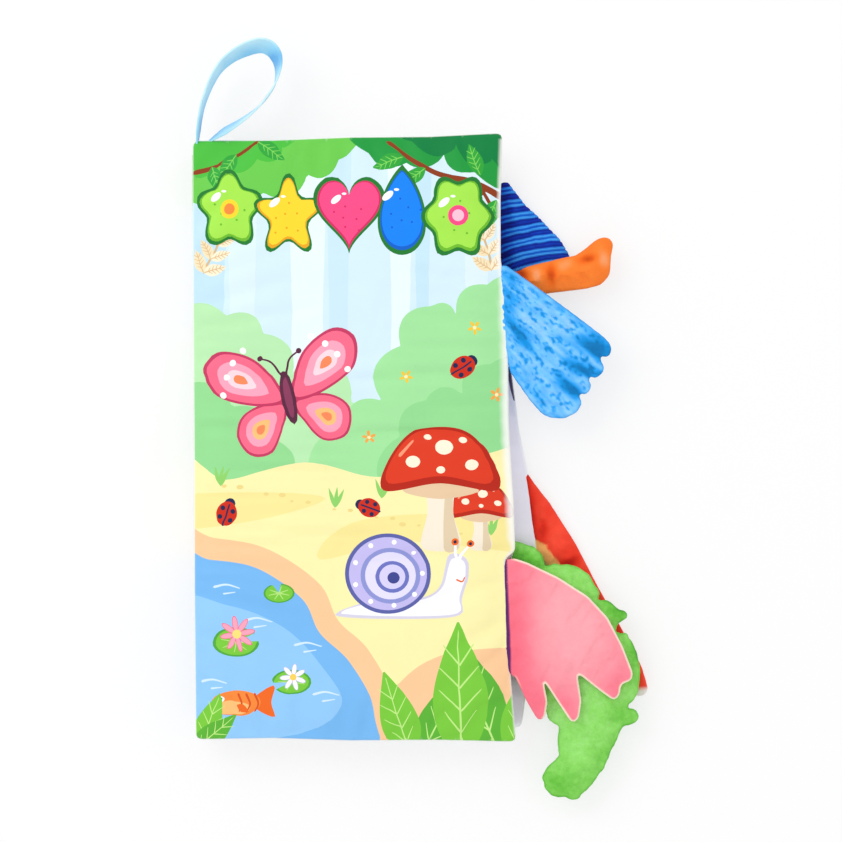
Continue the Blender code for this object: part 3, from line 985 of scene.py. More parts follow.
class Form:
    """The stuffed shape of a piece, as two heights over a mesh of the plane.

    Args:
        loop: the piece's outline, counter-clockwise.
        spacing: distance between its points.
        puffiness: how it swells.
        middle: gives the height of its seam over points.
        seed: picks its wrinkles.
    """

    RINGS = (0.12, 0.45, 1, 1.8)

    def __init__(self, loop: Points, spacing: float, puffiness: Puffiness,
                 middle: Callable[[Points], Values], seed: float) -> None:
        """Lay out the points and give them their heights."""
        self.loop = even_loop(loop, min(spacing, 1.3 * MM))
        rings = [ring_inside(self.loop, share * puffiness.roll) for share in self.RINGS]
        grid = grid_inside(self.loop, spacing, puffiness.roll * self.RINGS[-1] + spacing * 0.5)
        self.points, self.faces = triangles_in(self.loop, np.vstack([*rings, grid]), [])
        depth, arc = nearest_side(self.points, self.loop)
        depth[: len(self.loop)] = 0
        rise = puffiness.rise(depth)
        self.level, self.half, self.depth = middle(self.points), puffiness.half, depth
        self.places = {}
        for side in Side:
            bend = puffiness.wrinkles(self.points, depth, arc, seed + side.value * 20)
            height = self.level + side.value * (rise + bend * limited(rise / puffiness.edge))
            self.places[side] = np.column_stack([self.points, height])
        self.finder = BVHTree.FromPolygons(
            [(x, y, 0) for x, y in self.points], [tuple(map(int, f)) for f in self.faces]
        )
        self.limit(Filling())
        self.normals = self.smooth_normals()

    def stuff(self, filling: Filling) -> None:
        """Fill the case and keep the wrinkles that it gets.

        Args:
            filling: how it is filled.
        """
        rim, count = len(self.loop), len(self.points)
        start = np.vstack([self.places[Side.UPPER], self.places[Side.LOWER][rim:]])
        back = np.where(self.faces >= rim, self.faces + count - rim, self.faces)[:, ::-1]
        faces = np.vstack([self.faces, back])
        moves = filling.wrinkles(filling.settle(start, faces, rim) - start, faces)
        inner = np.concatenate([self.depth, self.depth[rim:]]) / filling.calm
        moves[:, :2] *= limited(inner)[:, None]
        moves[:, 2] *= limited(2 * inner - 0.4)
        moves[:rim] = 0
        self.places[Side.UPPER] += moves[:count]
        self.places[Side.LOWER][rim:] += moves[count:]
        self.limit(filling)
        self.normals = self.smooth_normals()

    def limit(self, filling: Filling) -> None:
        """Flatten the places that would press into what lies above or below.

        Args:
            filling: gives how far they may rise past the full thickness.
        """
        upper, lower = self.places[Side.UPPER], self.places[Side.LOWER]
        upper[:, 2] = np.minimum(upper[:, 2], self.level + self.half + filling.over)
        lower[:, 2] = np.maximum(lower[:, 2], self.level - self.half - filling.under)

    def smooth_normals(self) -> dict[Side, Points]:
        """Average the normals of the faces.

        Returns:
            A normal for each point of each side.
        """
        found = {}
        rim = len(self.loop)
        for side in Side:
            a, b, c = (self.places[side][self.faces[:, k]] for k in range(3))
            found[side] = np.zeros((len(self.points), 3))
            for k in range(3):
                np.add.at(found[side], self.faces[:, k], np.cross(b - a, c - a) * side.value)
        shared = found[Side.UPPER][:rim] + found[Side.LOWER][:rim]
        for side in Side:
            found[side][:rim] = shared
            found[side] = unit(found[side])
        return found

    def at(self, points: Points, side: Side) -> tuple[Points, Points]:
        """Return where points of the plane lie on one side, and the normals there.

        Args:
            points: the points.
            side: the side.

        Returns:
            The places and the normals.
        """
        hits = [self.finder.find_nearest((x, y, 0)) for x, y in points]
        corners = self.faces[[hit[2] for hit in hits]]
        place = np.array([tuple(hit[0])[:2] for hit in hits])
        a, b, c = (self.points[corners[:, k]] for k in range(3))
        whole = cross(b - a, c - a)
        second, third = cross(place - a, c - a) / whole, cross(b - a, place - a) / whole
        shares = np.stack([1 - second - third, second, third], 1)[:, :, None]
        spots = (self.places[side][corners] * shares).sum(1)
        return spots, unit((self.normals[side][corners] * shares).sum(1))


def levels(name: str) -> Pair:
    """Return the heights of the foot and the head of a piece's two cloths."""
    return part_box(f"{name}_lower_cloth")[0][2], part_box(f"{name}_upper_cloth")[1][2]


@dataclass
class Pad:
    """A stuffed piece with a cloth face above and one below.

    Args:
        name: the piece's name, and the start of its solids' names.
        body: the body that carries it.
        slot: the name of the record's slot for its finish; not used.
        cloth: its fabric.
        detail_mm: distance between the points of its faces.
        form_mm: distance between the points of its stuffed form.
        fill: how full it is, from 0 to 1; not used.
        nap_mm: height of its tufts.
        nap_pitch_mm: size of its tufts.
        seed: picks its wrinkles.
        prints: the print on each side that has one.
    """

    name: str
    body: str
    slot: str
    cloth: Cloths
    detail_mm: float = 2.2
    form_mm: float = 2.2
    fill: float = 0.6
    nap_mm: float = 0
    nap_pitch_mm: float = 1.2
    seed: float = 0
    prints: dict[Side, Print] = field(default_factory=dict, kw_only=True)

    RINGS_MM = (0.12, 0.4, 0.9, 1.7, 2.6, 3.6)

    @cached_property
    def rim(self) -> Points:
        """Return its outline, worked out once."""
        return self.outline()

    def solids(self) -> list[str]:
        """Return the names of the solids that it stands for."""
        return [f"{self.name}_upper_cloth", f"{self.name}_lower_cloth"]

    def outline(self) -> Points:
        """Return its outline, smoothed from the solid's."""
        return softened(node_outline(bpy.data.objects[self.solids()[0]]), 0.4 * MM, 0.55 * MM)

    def puffiness(self) -> Puffiness:
        """Return how it swells."""
        low, high = levels(self.name)
        return Puffiness(half=(high - low) / 2)

    def middle(self, points: Points) -> Values:
        """Return the height of its seam over points."""
        return np.full(len(points), sum(levels(self.name)) / 2)

    def filling(self) -> Filling:
        """Return how its case is filled."""
        return Filling()

    def dye_and_painted_light(self, points: Points) -> Points:
        """Return the cloth's colour at points, with its painted light and shade."""
        raise NotImplementedError

    def relief(self, points: Points) -> Values:
        """Return how far the cloth stands out over points, beside its tufts."""
        return np.zeros(len(points))

    def edge_highlight(self, points: Points) -> Values:
        """Return how far the painted highlight of a rolled edge lightens the print at points."""
        return np.zeros(len(points))

    def layer(self, rim: Points, page: Print | None) -> tuple[Points, Values]:
        """Return the points and triangles of one side.

        Args:
            rim: the outline's points.
            page: the print whose colours meet on this side.

        Returns:
            The points, those of the rim first, and the triangles.
        """
        step = self.detail_mm * MM
        depths = self.RINGS_MM if page else self.RINGS_MM[:3]
        rings = [ring_inside(rim, depth * MM) for depth in depths]
        lines, sides = page.lines_inside(rim, 0.3 * MM) if page else (np.zeros((0, 2)), [])
        grid = grid_inside(rim, step, depths[-1] * MM + step / 2)
        return triangles_in(rim, np.vstack([lines, *rings, grid]), sides)

    def build(self) -> Piece:
        """Build the piece, dress it and attach it.

        Returns:
            The piece.
        """
        form = Form(self.rim, self.form_mm * MM, self.puffiness(), self.middle, self.seed)
        form.stuff(self.filling())
        rim = even_loop(self.rim, min(self.detail_mm, 1.1) * MM)
        kept = []
        for side, skip in ((Side.UPPER, 0), (Side.LOWER, len(rim))):
            page = self.prints.get(side)
            points, found = self.layer(rim, page)
            spots, ways = form.at(points, side)
            if self.nap_mm:
                tuft = speckle(spots, self.nap_pitch_mm, self.seed + side.value)
                spots = spots + ways * (tuft * self.nap_mm * MM)[:, None]
            spots = spots + ways * self.relief(points)[:, None]
            dyes_and_painted_light = page.colours(points[found].mean(1)) if page else self.dye_and_painted_light(points)[skip:]
            before = len(kept[0][0]) - skip if kept else 0
            faces = np.where(found >= skip, found + before, found)[:, :: side.value]
            kept.append((spots[skip:], faces, dyes_and_painted_light, self.edge_highlight(points)[skip:], ways[skip:]))
        places, faces, dyes_and_painted_light, edge_highlight, normals = (np.concatenate(parts) for parts in zip(*kept))
        made = blank_mesh(self.name, places, faces, dyes_and_painted_light, edge_highlight if page else None)
        if page:
            made.data.normals_split_custom_set_from_vertices(normals.tolist())
        made.data.materials.append(self.cloth.value.make(self.name))
        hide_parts(*self.solids())
        self.attach(made)
        LOG.info("%s: %d faces", self.name, len(made.data.polygons))
        return made

    def attach(self, made: Piece) -> None:
        """Let the piece's body carry it."""
        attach(made, self.body)


# The prints


def lobed(count: int, depth: float, turn: float = 90, sharp: float = 1) -> Points:
    """Return a rounded outline with lobes.

    Args:
        count: how many lobes it has.
        depth: how much shorter it is between them.
        turn: angle of the first lobe, in degrees.
        sharp: above 1 the lobes are narrower.

    Returns:
        The outline, about one unit out from the origin.
    """
    angles = np.linspace(0, 2 * math.pi, 72, endpoint=False)
    wave = ((np.cos((angles - math.radians(turn)) * count) + 1) / 2) ** sharp
    return around(angles) * (1 - depth * (1 - wave))[:, None]


def heart_outline() -> Points:
    """Draw a plump heart.

    Returns:
        Its outline, about one unit out from the origin.
    """
    t = np.linspace(0, 2 * math.pi, 60, endpoint=False)
    y = 13 * np.cos(t) - 5 * np.cos(2 * t) - 2 * np.cos(3 * t) - np.cos(4 * t)
    return np.stack([-16 * np.sin(t) ** 3, y + 1.5], 1) / 15.5


def drop_outline() -> Points:
    """Return a plump drop, about one unit out from the origin."""
    t = np.linspace(0, 2 * math.pi, 48, endpoint=False)
    return np.stack([0.78 * np.sin(t) * np.sin(t / 2) ** 0.7, np.cos(t)], 1)[::-1]


class Meadow(Print):
    """The front cover's picture: a pond meadow under leafy branches.

    Args:
        width: the cover's width.
        height: the cover's height.
    """

    SKY = ((-5, 10, "C3E4F4"), (10, 20, "DDF1FA"), (30, 42, "E8F6FC"), (42, 50, "CBE8F6"),
           (62, 70, "E8F6FC"), (70, 76, "C6E6F5"), (86, 95, "DFF2FA"))
    BUSHES = (
        ("B9EBB2", 0.28, ((-8, 40), (52, 42), (50, 56), (40, 62), (31, 60), (22, 67), (10, 70), (-8, 69))),
        ("A3E5A0", 0.3, ((40, 40), (110, 40), (110, 73.5), (94, 75), (84, 70), (76, 71.5), (66, 65),
                         (60, 56), (48, 52))),
        ("94DC93", 0.28, ((62, 40), (110, 40), (110, 60), (95, 62), (86, 57), (74, 56), (66, 50))),
        ("94DC93", 0.3, ((-8, 40), (30, 42), (24, 50), (12, 55), (-8, 57))),
    )
    BUSH_FLOWERS = ((68, 60, "F6C83A"), (90, 68, "F6C83A"), (97, 57, "F9A64A"), (8, 62, "F6C83A"),
                    (56, 50, "F9A64A"))
    CANOPY = (
        ("6BCB4E", 0.3, ((-6, 105), (-6, 90), (10, 91.5), (22, 90), (36, 93), (46, 95.5), (50, 105))),
        ("4BBF3F", 0.3, ((-6, 105), (-6, 95), (8, 94.5), (20, 95.5), (28, 97.5), (32, 105))),
        ("1C9A3E", 0.26, ((50, 105), (56, 96.5), (68, 95), (80, 96.5), (90, 93.5), (110, 93), (110, 105))),
        ("00803F", 0.26, ((62, 105), (70, 98.5), (84, 97.5), (96, 95.5), (110, 95), (110, 105))),
    )
    BRANCHES = (
        (2.6, 0.5, ((106, 87.5), (90, 91.5), (76, 93.5), (62, 98.5))),
        (1.5, 0.5, ((93, 90.5), (86, 86.5), (80, 85.5))),
        (1.7, 0.6, ((104, 83), (97, 87), (92, 90.5))),
        (1.8, 0.6, ((-3, 93), (9, 95), (20, 98.5))),
    )
    HANGING_LEAVES = (
        (86, 91, 13, 235), (80, 92.5, 12, 260), (74, 94, 11, 215), (97, 89, 12, 250),
        (67, 96, 12, 200), (92, 93, 12, 110), (20, 98.5, 12, 325), (13, 96.5, 11, 240),
        (5, 94.5, 11, 290),
    )
    SAND = (
        ("FBF2B0", 8, ((-10, -5), (115, -5), (115, 44), (90, 47), (60, 43.5), (35, 46), (10, 43),
                       (-10, 45))),
        ("F8E99A", 6, ((40, 30), (70, 33), (110, 31), (112, 36), (80, 37.5), (50, 36))),
        ("F8E99A", 6, ((-10, 35), (20, 36.5), (42, 40), (20, 41), (-10, 40))),
        ("FBCB9B", 7, ((50, -5), (112, -5), (112, 13), (86, 15), (66, 10))),
    )
    POND = (
        ("FBCB9B", 8, ((-10, -4), (60, -6), (64, 6), (56, 15), (46, 20), (40, 26), (24, 31.5),
                       (6, 33.5), (-10, 33))),
        ("77B9F2", 8, ((-10, -4), (54, -6), (57.5, 5), (50, 13), (40, 18), (34.5, 23.5), (20, 28.5),
                       (4, 30), (-10, 30))),
        ("93CBFA", 8, ((-10, 2), (30, 1), (47, 6), (40, 13), (28, 19), (10, 22.5), (-10, 23))),
    )
    CAP_SPOTS = ((-0.45, 0.45, 2.6), (0.05, 0.68, 3.2), (0.5, 0.4, 2.4), (0, 0.32, 1.6),
                 (-0.2, 0.85, 1.4), (0.36, 0.8, 1.5))
    TOADSTOOL = (
        (6, "F7ECD8", ((-0.3, -0.95), (0.3, -0.95), (0.2, -0.4), (0.2, 0.1), (-0.2, 0.1), (-0.22, -0.4))),
        (5, "E3CFAE", ((0.05, -0.95), (0.3, -0.95), (0.2, -0.4), (0.2, 0.1), (0.08, 0))),
        (6, "E9C9A4", ((-0.62, -0.02), (0, -0.16), (0.62, -0.02), (0, 0.16))),
        (7, "B8230E", ((-0.92, -0.02), (0, 0.1), (0.92, -0.02), (0.82, 0.52), (0.36, 0.98),
                       (-0.36, 0.98), (-0.82, 0.52))),
        (7, "E03A1C", ((-0.84, 0.1), (0, 0.22), (0.8, 0.1), (0.72, 0.54), (0.32, 0.94), (-0.34, 0.94),
                       (-0.76, 0.54))),
    )
    SNAIL = (
        ("D8D4E8", ((-16, -3.8), (20, -4), (24, -1), (26, 5), (20, 6.2), (16.5, 1), (10, -0.8),
                    (-5, -1.2))),
        ("FBFAFF", ((-14, -3.4), (20, -3.6), (23.2, -0.8), (25, 4.6), (20.5, 5.4), (17.2, 0.8),
                    (10, -1.2), (-5, -1.6))),
    )
    SHELL = ((15.2, "5B62A8", 0), (13.8, "C5BDF0", 0), (10.6, "8F96D6", 0.8), (9, "E6E1FF", 0.8),
             (6, "6C74C2", 1.4), (4.6, "D9D2FA", 1.4), (2.2, "3E4690", 1.8))
    FOOT_LEAVES = (
        (98, -2, 46, 112, "5DB536"), (72, -3, 38, 62, "5DB536"), (86, -3, 50, 92, "7ACB3C"),
        (70, -3, 34, 108, "7ACB3C"), (102, -3, 34, 78, "7ACB3C"), (0, -3, 26, 70, "7ACB3C"),
        (-2, -2, 22, 40, "5DB536"),
    )

    def __init__(self, width: float, height: float) -> None:
        """Draw the whole picture."""
        super().__init__(width, height, "D5EDF8")
        self.sky()
        self.canopy()
        self.sand()
        self.pond()
        self.toadstool((92, 37), 0.55)
        self.toadstool((79, 41.5), 1)
        self.butterfly((30, 56.5), 27, 12)
        self.snail(np.array([62, 24.5]))
        self.ladybird((86, 61.5), 4.6, 35)
        self.ladybird((56, 38.5), 4, 160)
        self.ladybird((10, 37.5), 4.4, 70)
        for u, v, length, turn, code in self.FOOT_LEAVES:
            self.leaf((u, v), length, turn, code, "C4EE8A", 0.42)
        self.garland()

    def sky(self) -> None:
        """Lay soft upright bands of sky and the pale bushes under them."""
        for left, right, code in self.SKY:
            self.shape([(left, 40), (right, 40), (right - 1, 70), (right, 105), (left, 105),
                        (left + 1.2, 70)], code, 3)
        for code, bulge, spots in self.BUSHES:
            self.scallops(spots, bulge, code)
        for u, v, code in self.BUSH_FLOWERS:
            self.blossom((u, v), 2.6, 5, code, "FFF1B8", u * 3)

    def canopy(self) -> None:
        """Lay the leafy top, its branches and the pale sprigs."""
        for code, bulge, spots in self.CANOPY:
            self.scallops(spots, bulge, code)
        for width, taper, spots in self.BRANCHES:
            self.stroke(spots, width, "8E3A14", taper)
        for u, v, length, turn in self.HANGING_LEAVES:
            self.leaf((u, v), length, turn, "2FA53A", "7BD45A", 0.5)
        self.sprig((2.5, 77), 62)
        self.sprig((95.5, 77.5), 100)

    def sprig(self, spot: Spot, turn: float) -> None:
        """Lay a cream sprig of small leaves along a curved stem.

        Args:
            spot: its foot.
            turn: the way it grows, in degrees.
        """
        angles = turn + np.arange(6) * 4
        spots = [spot]
        for angle in angles[:-1]:
            spots.append(self.near(spots[-1], turned((5.4, 0), angle)))
        self.stroke(spots, 1, "D9B98A", 0.5)
        for number, (place, angle) in enumerate(zip(spots, angles)):
            for side, code in ((48, "F7E3BC"), (-48, "FBEED2")):
                self.leaf(place, 8.6 - number * 0.7, angle + side, code, "E0C090", 0.52)

    def sand(self) -> None:
        """Lay the sandy meadow with its darker drifts."""
        for code, steps, spots in self.SAND:
            self.shape(spots, code, steps)
        for number in range(16):
            spot = 6 + 93 * ((number * 0.618) % 1), 33 + 10 * ((number * 0.377) % 1)
            self.disc(spot, 0.7 + 0.3 * (number % 3), "EFD98A", 0.6)
        for spot in ((8, 42), (45, 38.5), (95, 34), (60, 40)):
            for lean in (-26, -6, 18):
                self.leaf(spot, 7.5, 90 + lean, "8FD36A", "", 0.2)

    def pond(self) -> None:
        """Lay the pond with its shore, ripples, lily pads and water flowers."""
        for code, steps, spots in self.POND:
            self.shape(spots, code, steps)
        for u, v in ((10, 25.5), (36, 16), (20, 20), (42, 8), (6, 10)):
            self.stroke([(u - 4, v), (u, v + 0.4), (u + 4.5, v - 0.2)], 0.9, "D6EDFF", 0.4)
            self.stroke([(u - 1, v - 1.1), (u + 3, v - 0.8)], 0.7, "D6EDFF", 0.4)
        self.lily_pad((13, 16.5), 8.5, 20)
        self.lily_pad((31, 10), 7, 200)
        self.lily_pad((27, 24.5), 5.5, 100)
        self.blossom((13.5, 17.8), 6.2, 8, "FFA5BD", "FFE27A", 10, "F0688E")
        self.blossom((31.5, 10.8), 4.6, 7, "FFFFFF", "FFD45A", 30, "C9BFEA")
        self.fish(np.array([13, 6.5]))

    def lily_pad(self, spot: Spot, size: float, turn: float) -> None:
        """Lay a lily pad with a notch and pale veins.

        Args:
            spot: its middle.
            size: its radius in millimetres.
            turn: the way its notch opens, in degrees.
        """
        angles = np.radians(np.linspace(16, 344, 34) + turn)
        for scale, code in ((1, "4FA83A"), (0.88, "7ACB3C")):
            rim = around(angles) * (1, 0.62) * size * scale * MM
            self.add(np.vstack([[0, 0], rim]) + self.at(spot), code)
        veins = around(np.radians(np.arange(50, 340, 48) + turn)) * (1, 0.62) * size * 0.7
        for tip in self.near(spot, veins):
            self.stroke([spot, tip], 0.5, "B4E67E", 0.5)

    def fish(self, spot: Points) -> None:
        """Lay an orange fish.

        Args:
            spot: its middle.
        """
        self.shape(spot + [(6, 1), (12.5, 3), (11.5, 0.2), (12.5, -2.2), (6, -0.6)], "F26A1E", 5)
        self.disc(spot, 9, "F98A3A", 0.52, 4)
        self.disc(spot + (-1, -0.8), 6.4, "FFC27A", 0.4, 4)
        for x in (1, 3.6, 6.2):
            self.stroke(spot + [(x, 1.6), (x + 1.2, 0), (x, -1.4)], 0.8, "D9541A", 0.6)
        self.leaf(spot + (0.5, -0.2), 5, 330, "F26A1E", "", 0.6)
        self.disc(spot + (-5, 0.6), 1.3, "FFFFFF")
        self.disc(spot + (-5.2, 0.6), 0.75, "1B2450")

    def toadstool(self, spot: Spot, size: float) -> None:
        """Lay a toadstool with cream spots.

        Args:
            spot: the foot of its cap.
            size: its size as a share of the tall one's.
        """
        unit = np.array([20, 10]) * size
        for steps, code, shares in self.TOADSTOOL:
            self.shape(spot + shares * unit, code, steps)
        for x, y, radius in self.CAP_SPOTS:
            self.disc(spot + (x, y) * unit, radius * size, "FFF3DA", 0.8)
        self.stroke(spot + [(-0.66, 0.55), (-0.45, 0.78)] * unit, 1.2 * size, "FF9B78", 0.6)

    def butterfly(self, spot: Spot, size: float, turn: float) -> None:
        """Lay a large pink butterfly with paler bands and a dark body.

        Args:
            spot: its middle.
            size: its reach to one side in millimetres.
            turn: how far it leans, in degrees.
        """
        hind = ((0.06, -0.04), (0.5, -0.04), (0.76, -0.28), (0.66, -0.62), (0.36, -0.66), (0.14, -0.36))
        fore = ((0.04, 0.06), (0.3, 0.55), (0.75, 0.78), (1.02, 0.6), (0.92, 0.22), (0.5, 0), (0.1, -0.06))
        for flip in (-1, 1):
            for wing, centre, band in ((hind, (0.45, -0.34), "FFC27A"), (fore, (0.58, 0.36), "FFD9E2")):
                loop = smooth_curve(wing, 8, True)
                for scale, code in ((1, "C63A63"), (0.9, "FF6B8A"), (0.62, "FFA5BD"), (0.36, band),
                                    (0.18, "FF8A5A")):
                    shrunk = ((loop - centre) * scale + centre) * (flip, 1) * size * MM
                    self.add(turned(shrunk, turn) + self.at(spot), code)
            dots = around(np.radians([58, 44, 30, 14])) * (flip, 1) * size * 0.86
            for place in self.near(spot, turned(dots, turn)):
                self.disc(place, 1.15, "FFFFFF")
            feeler = np.array([(0.03, 0.3), (0.12, 0.5), (0.26, 0.58)]) * (flip, 1) * size
            line = self.near(spot, turned(feeler, turn))
            self.stroke(line, 0.8, "5A2440", 0.7)
            self.disc(line[-1], 1, "5A2440")
        self.disc(spot, size * 0.36, "5A2440", 0.26, 90 + turn)
        self.disc(spot, size * 0.27, "8A3A5C", 0.18, 90 + turn)

    def snail(self, spot: Points) -> None:
        """Lay a white snail with a lavender and navy shell.

        Args:
            spot: a place low in its shell.
        """
        for code, steps in self.SNAIL:
            self.shape(spot + steps, code, 7)
        for eye in ((21.5, 8.5), (26.5, 8.2)):
            self.stroke(spot + [(22.5, 5), eye], 1.1, "FBFAFF", 0.8)
            self.disc(spot + eye, 1.3, "F26A1E")
            self.disc(spot + eye, 0.6, "1B2450")
        self.stroke(spot + [(22, 2.2), (23.8, 1.9), (24.6, 2.6)], 0.6, "F26A1E", 0.7)
        for radius, code, x in self.SHELL:
            self.disc(spot + (x, 3.2 - x * 0.4), radius, code, 0.94)
        for dot in self.near(spot + (0, 3.2), around(np.radians(np.arange(9) * 40)) * (12.2, 11.4)):
            self.disc(dot, 0.9, "FFFFFF")

    def ladybird(self, spot: Spot, size: float, turn: float) -> None:
        """Lay a ladybird.

        Args:
            spot: its middle.
            size: its half length in millimetres.
            turn: the way it crawls, in degrees.
        """
        front, back = self.near(spot, turned([(size * 0.8, 0), (-size, 0)], turn))
        self.disc(self.near(spot, turned((size * 0.85, 0), turn)), size * 0.45, "1B2450")
        self.disc(spot, size, "D02A10", 0.84, turn)
        self.stroke([back, front], 0.6, "1B2450")
        for lean, reach in ((50, 0.55), (-50, 0.55), (130, 0.6), (-130, 0.6)):
            self.disc(self.near(spot, turned((size * reach, 0), turn + lean)), size * 0.2, "1B2450")

    def puffy(self, spot: Spot, size_mm: float, outline: Points, code: str, shade: str) -> None:
        """Lay a plump shape with a dark outline, a shaded foot, glints and small dots.

        Args:
            spot: its middle.
            size_mm: half its width.
            outline: its outline around the origin, about one unit out.
            code: its colour.
            shade: a darker colour for its outline's inside.
        """
        middle, scale = self.at(spot), size_mm * MM
        outline = outline * (1, 1.18) * scale
        self.add(outline * 1.12 + middle, "1F7A2E")
        self.add(outline + middle, shade)
        self.add(outline * 0.93 + middle + np.array([0, 0.03]) * scale, code)
        for x, y, size, turn in ((-0.42, 0.42, 0.2, 40), (-0.16, 0.6, 0.08, 0)):
            glint = self.near(spot, np.array([x, y]) * size_mm)
            self.disc(glint, size * size_mm, "FFFFFF", 0.5, turn)
        for number in range(7):
            angle, far = number * 2.4 + spot[0] * 0.07, size_mm * (0.2 + 0.06 * number)
            steps = (math.cos(angle) * far, math.sin(angle) * far - 0.1 * size_mm)
            self.disc(self.near(spot, steps), 0.42, shade)

    def garland(self) -> None:
        """Lay the row of plump shapes across the top."""
        self.puffy((11, 87.2), 11, lobed(5, 0.3), "A6E84F", "6DBB2C")
        self.puffy((30, 86.2), 11.6, lobed(5, 0.42, 90, 1.6), "FFD92E", "EDA81C")
        self.puffy((49.5, 86.8), 11, heart_outline(), "FF4B87", "D62A66")
        self.puffy((66.5, 87.2), 12, drop_outline(), "0A84FF", "0060CC")
        self.puffy((84.5, 86.2), 11.8, lobed(6, 0.22, 60), "A6E84F", "6DBB2C")
        for spot, radius, code in (((11, 87.4), 3.4, "FFD92E"), ((11, 87.4), 2, "FF8A3A"),
                                   ((84.5, 86.4), 3.6, "FF4B87"), ((84.5, 86.4), 2.1, "FFC2D6")):
            self.disc(spot, radius, code)


class Scene(Enum):
    """The pictures on the inner pages and the back."""

    LAGOON = ("DDEFFA", "9BD3F7", "6FBCEB", "FF9A3D")
    HILLS = ("FFF3D6", "BDE8A0", "8FD36A", "FF6B8A")
    DUNES = ("E9F4FB", "FBE3A6", "F6C98A", "E8452C")
    NIGHT = ("E8E3F8", "A9B4EE", "7F8CDB", "FFD34A")
    GARDEN = ("E6F6E2", "A3E5A0", "5DB536", "B77BE0")


class PagePicture(Print):
    """A simple picture inside a pale margin.

    Args:
        width: the page's width.
        height: the page's height.
        scene: its colours.
        gap_shadow: whether a dark stroke of painted shadow marks the shaded gap under the front cover's
            edge, at the foot of the fan's seam.
    """

    def __init__(self, width: float, height: float, scene: Scene, gap_shadow: bool = False) -> None:
        """Draw the picture: sky, two rows of hills, a big flower and small ones."""
        super().__init__(width, height, "F1EFFA")
        sky, near, far, bright = scene.value
        self.shape([(7, 5), (50, 4.5), (91, 5), (92, 50), (91, 95), (50, 95.5), (7, 95), (6.5, 50)], sky, 8)
        self.disc((74, 84), 11, "FFF6C8")
        self.disc((74, 84), 8, "FFE58A")
        for u, v in ((24, 86), (42, 78)):
            for x, size in ((-6, 4.5), (0, 6.5), (7, 5)):
                self.disc((u + x, v), size, "FFFFFF", 0.75)
        foot = [(7.2, 5.6), (90.8, 5.6)]
        self.scallops([(7, 43), *foot, (91.3, 43), (72, 47), (52, 44), (30, 47)], 0.24, far, 3)
        self.scallops([(7, 29), *foot, (91.3, 26), (60, 28)], 0.14, near, 3)
        self.stroke([(46, 12), (50, 30), (49, 50)], 2.6, "3F8F3A", 0.8)
        self.leaf((48, 20), 26, 35, "5DB536", "C4EE8A", 0.4)
        self.leaf((48.5, 26), 24, 150, "7ACB3C", "C4EE8A", 0.4)
        self.blossom((49, 56), 25, 7, bright, "FFE27A", 12, "FFFFFF")
        self.disc((49, 56), 4.4, "F2A23A")
        for number in range(9):
            spot = 13 + 72 * ((number * 0.618) % 1), 10 + 14 * ((number * 0.39) % 1)
            code = "FFFFFF" if number % 2 else "FFD0DC"
            self.blossom(spot, 3.4, 5, code, "FFC53A", number * 31)
        # Painted shadow: a dark stroke on the margin where the gap under the front cover's edge lies in
        # shade.
        if gap_shadow:
            self.stroke([(101.4, 61.2), (102.1, 58.8), (103.1, 56.2)], 1.9, "5A4A66", 0.5)


# Leaves and spine


@dataclass
class Leaf(Pad):
    """One stuffed leaf with a printed cloth on each side.

    Args:
        corner_share: size of its corners, as a share of the solid's.
        wrap_mm: pairs of a height and how far it reaches over the spine cloth there.
        fore_mm: pairs of a height and how far the fore-edge stands out there.
        highlight_mm: pairs of a height and how far in the painted highlight reaches there.
        over_mm: how far its upper face may rise past its full thickness.
    """

    corner_share: float = 0.3
    wrap_mm: tuple[Pair, ...] = ((0, 0),)
    fore_mm: tuple[Pair, ...] = ((0, 0),)
    highlight_mm: tuple[Pair, ...] = ((0, 0),)
    over_mm: float = 0.1

    def filling(self) -> Filling:
        """Return how its case is filled."""
        return Filling(over=self.over_mm * MM, most=0.55 * MM)

    def edge_highlight(self, points: Points) -> Values:
        """Work out the painted highlight along the rolled edges, reaching furthest in along the fore-edge.

        Args:
            points: where, in the plane.

        Returns:
            A share a point.
        """
        depth = side_distance(points, self.rim) / MM
        fore = limited(points[:, 0] / MM - 50) * (np.abs(points[:, 1]) / MM < 106)
        reach = 0.35 + fore * np.interp(points[:, 1] / MM, *zip(*self.highlight_mm))
        return 0.88 * limited(1.6 * (1 - depth / reach))

    def outline(self) -> Points:
        """Fill out the solid's cut corners, and shape the spine edge and the fore-edge.

        Returns:
            The outline.
        """
        points = node_outline(bpy.data.objects[self.solids()[0]])
        before, ahead = points - np.roll(points, 1, 0), np.roll(points, -1, 0) - points
        bend = np.abs(np.arctan2(cross(before, ahead), (before * ahead).sum(1)))
        for i in np.flatnonzero(bend > math.radians(35)):
            near = [i - 1, i, (i + 1) % len(points)]
            corner = 2 * points[i] - (points[near[0]] + points[near[2]]) / 2
            points[near] = corner + (points[near] - corner) * self.corner_share
        loop = even_loop(points, 0.8 * MM)
        heights = loop[:, 1] / MM
        spine = limited((-48 * MM - loop[:, 0]) / (5 * MM))
        fore = limited((loop[:, 0] - 45 * MM) / (5 * MM))
        loop[:, 0] -= spine * np.interp(heights, *zip(*self.wrap_mm)) * MM
        loop[:, 0] += fore * np.interp(heights, *zip(*self.fore_mm)) * MM
        return softened(loop, 0.5 * MM, 0.6 * MM)


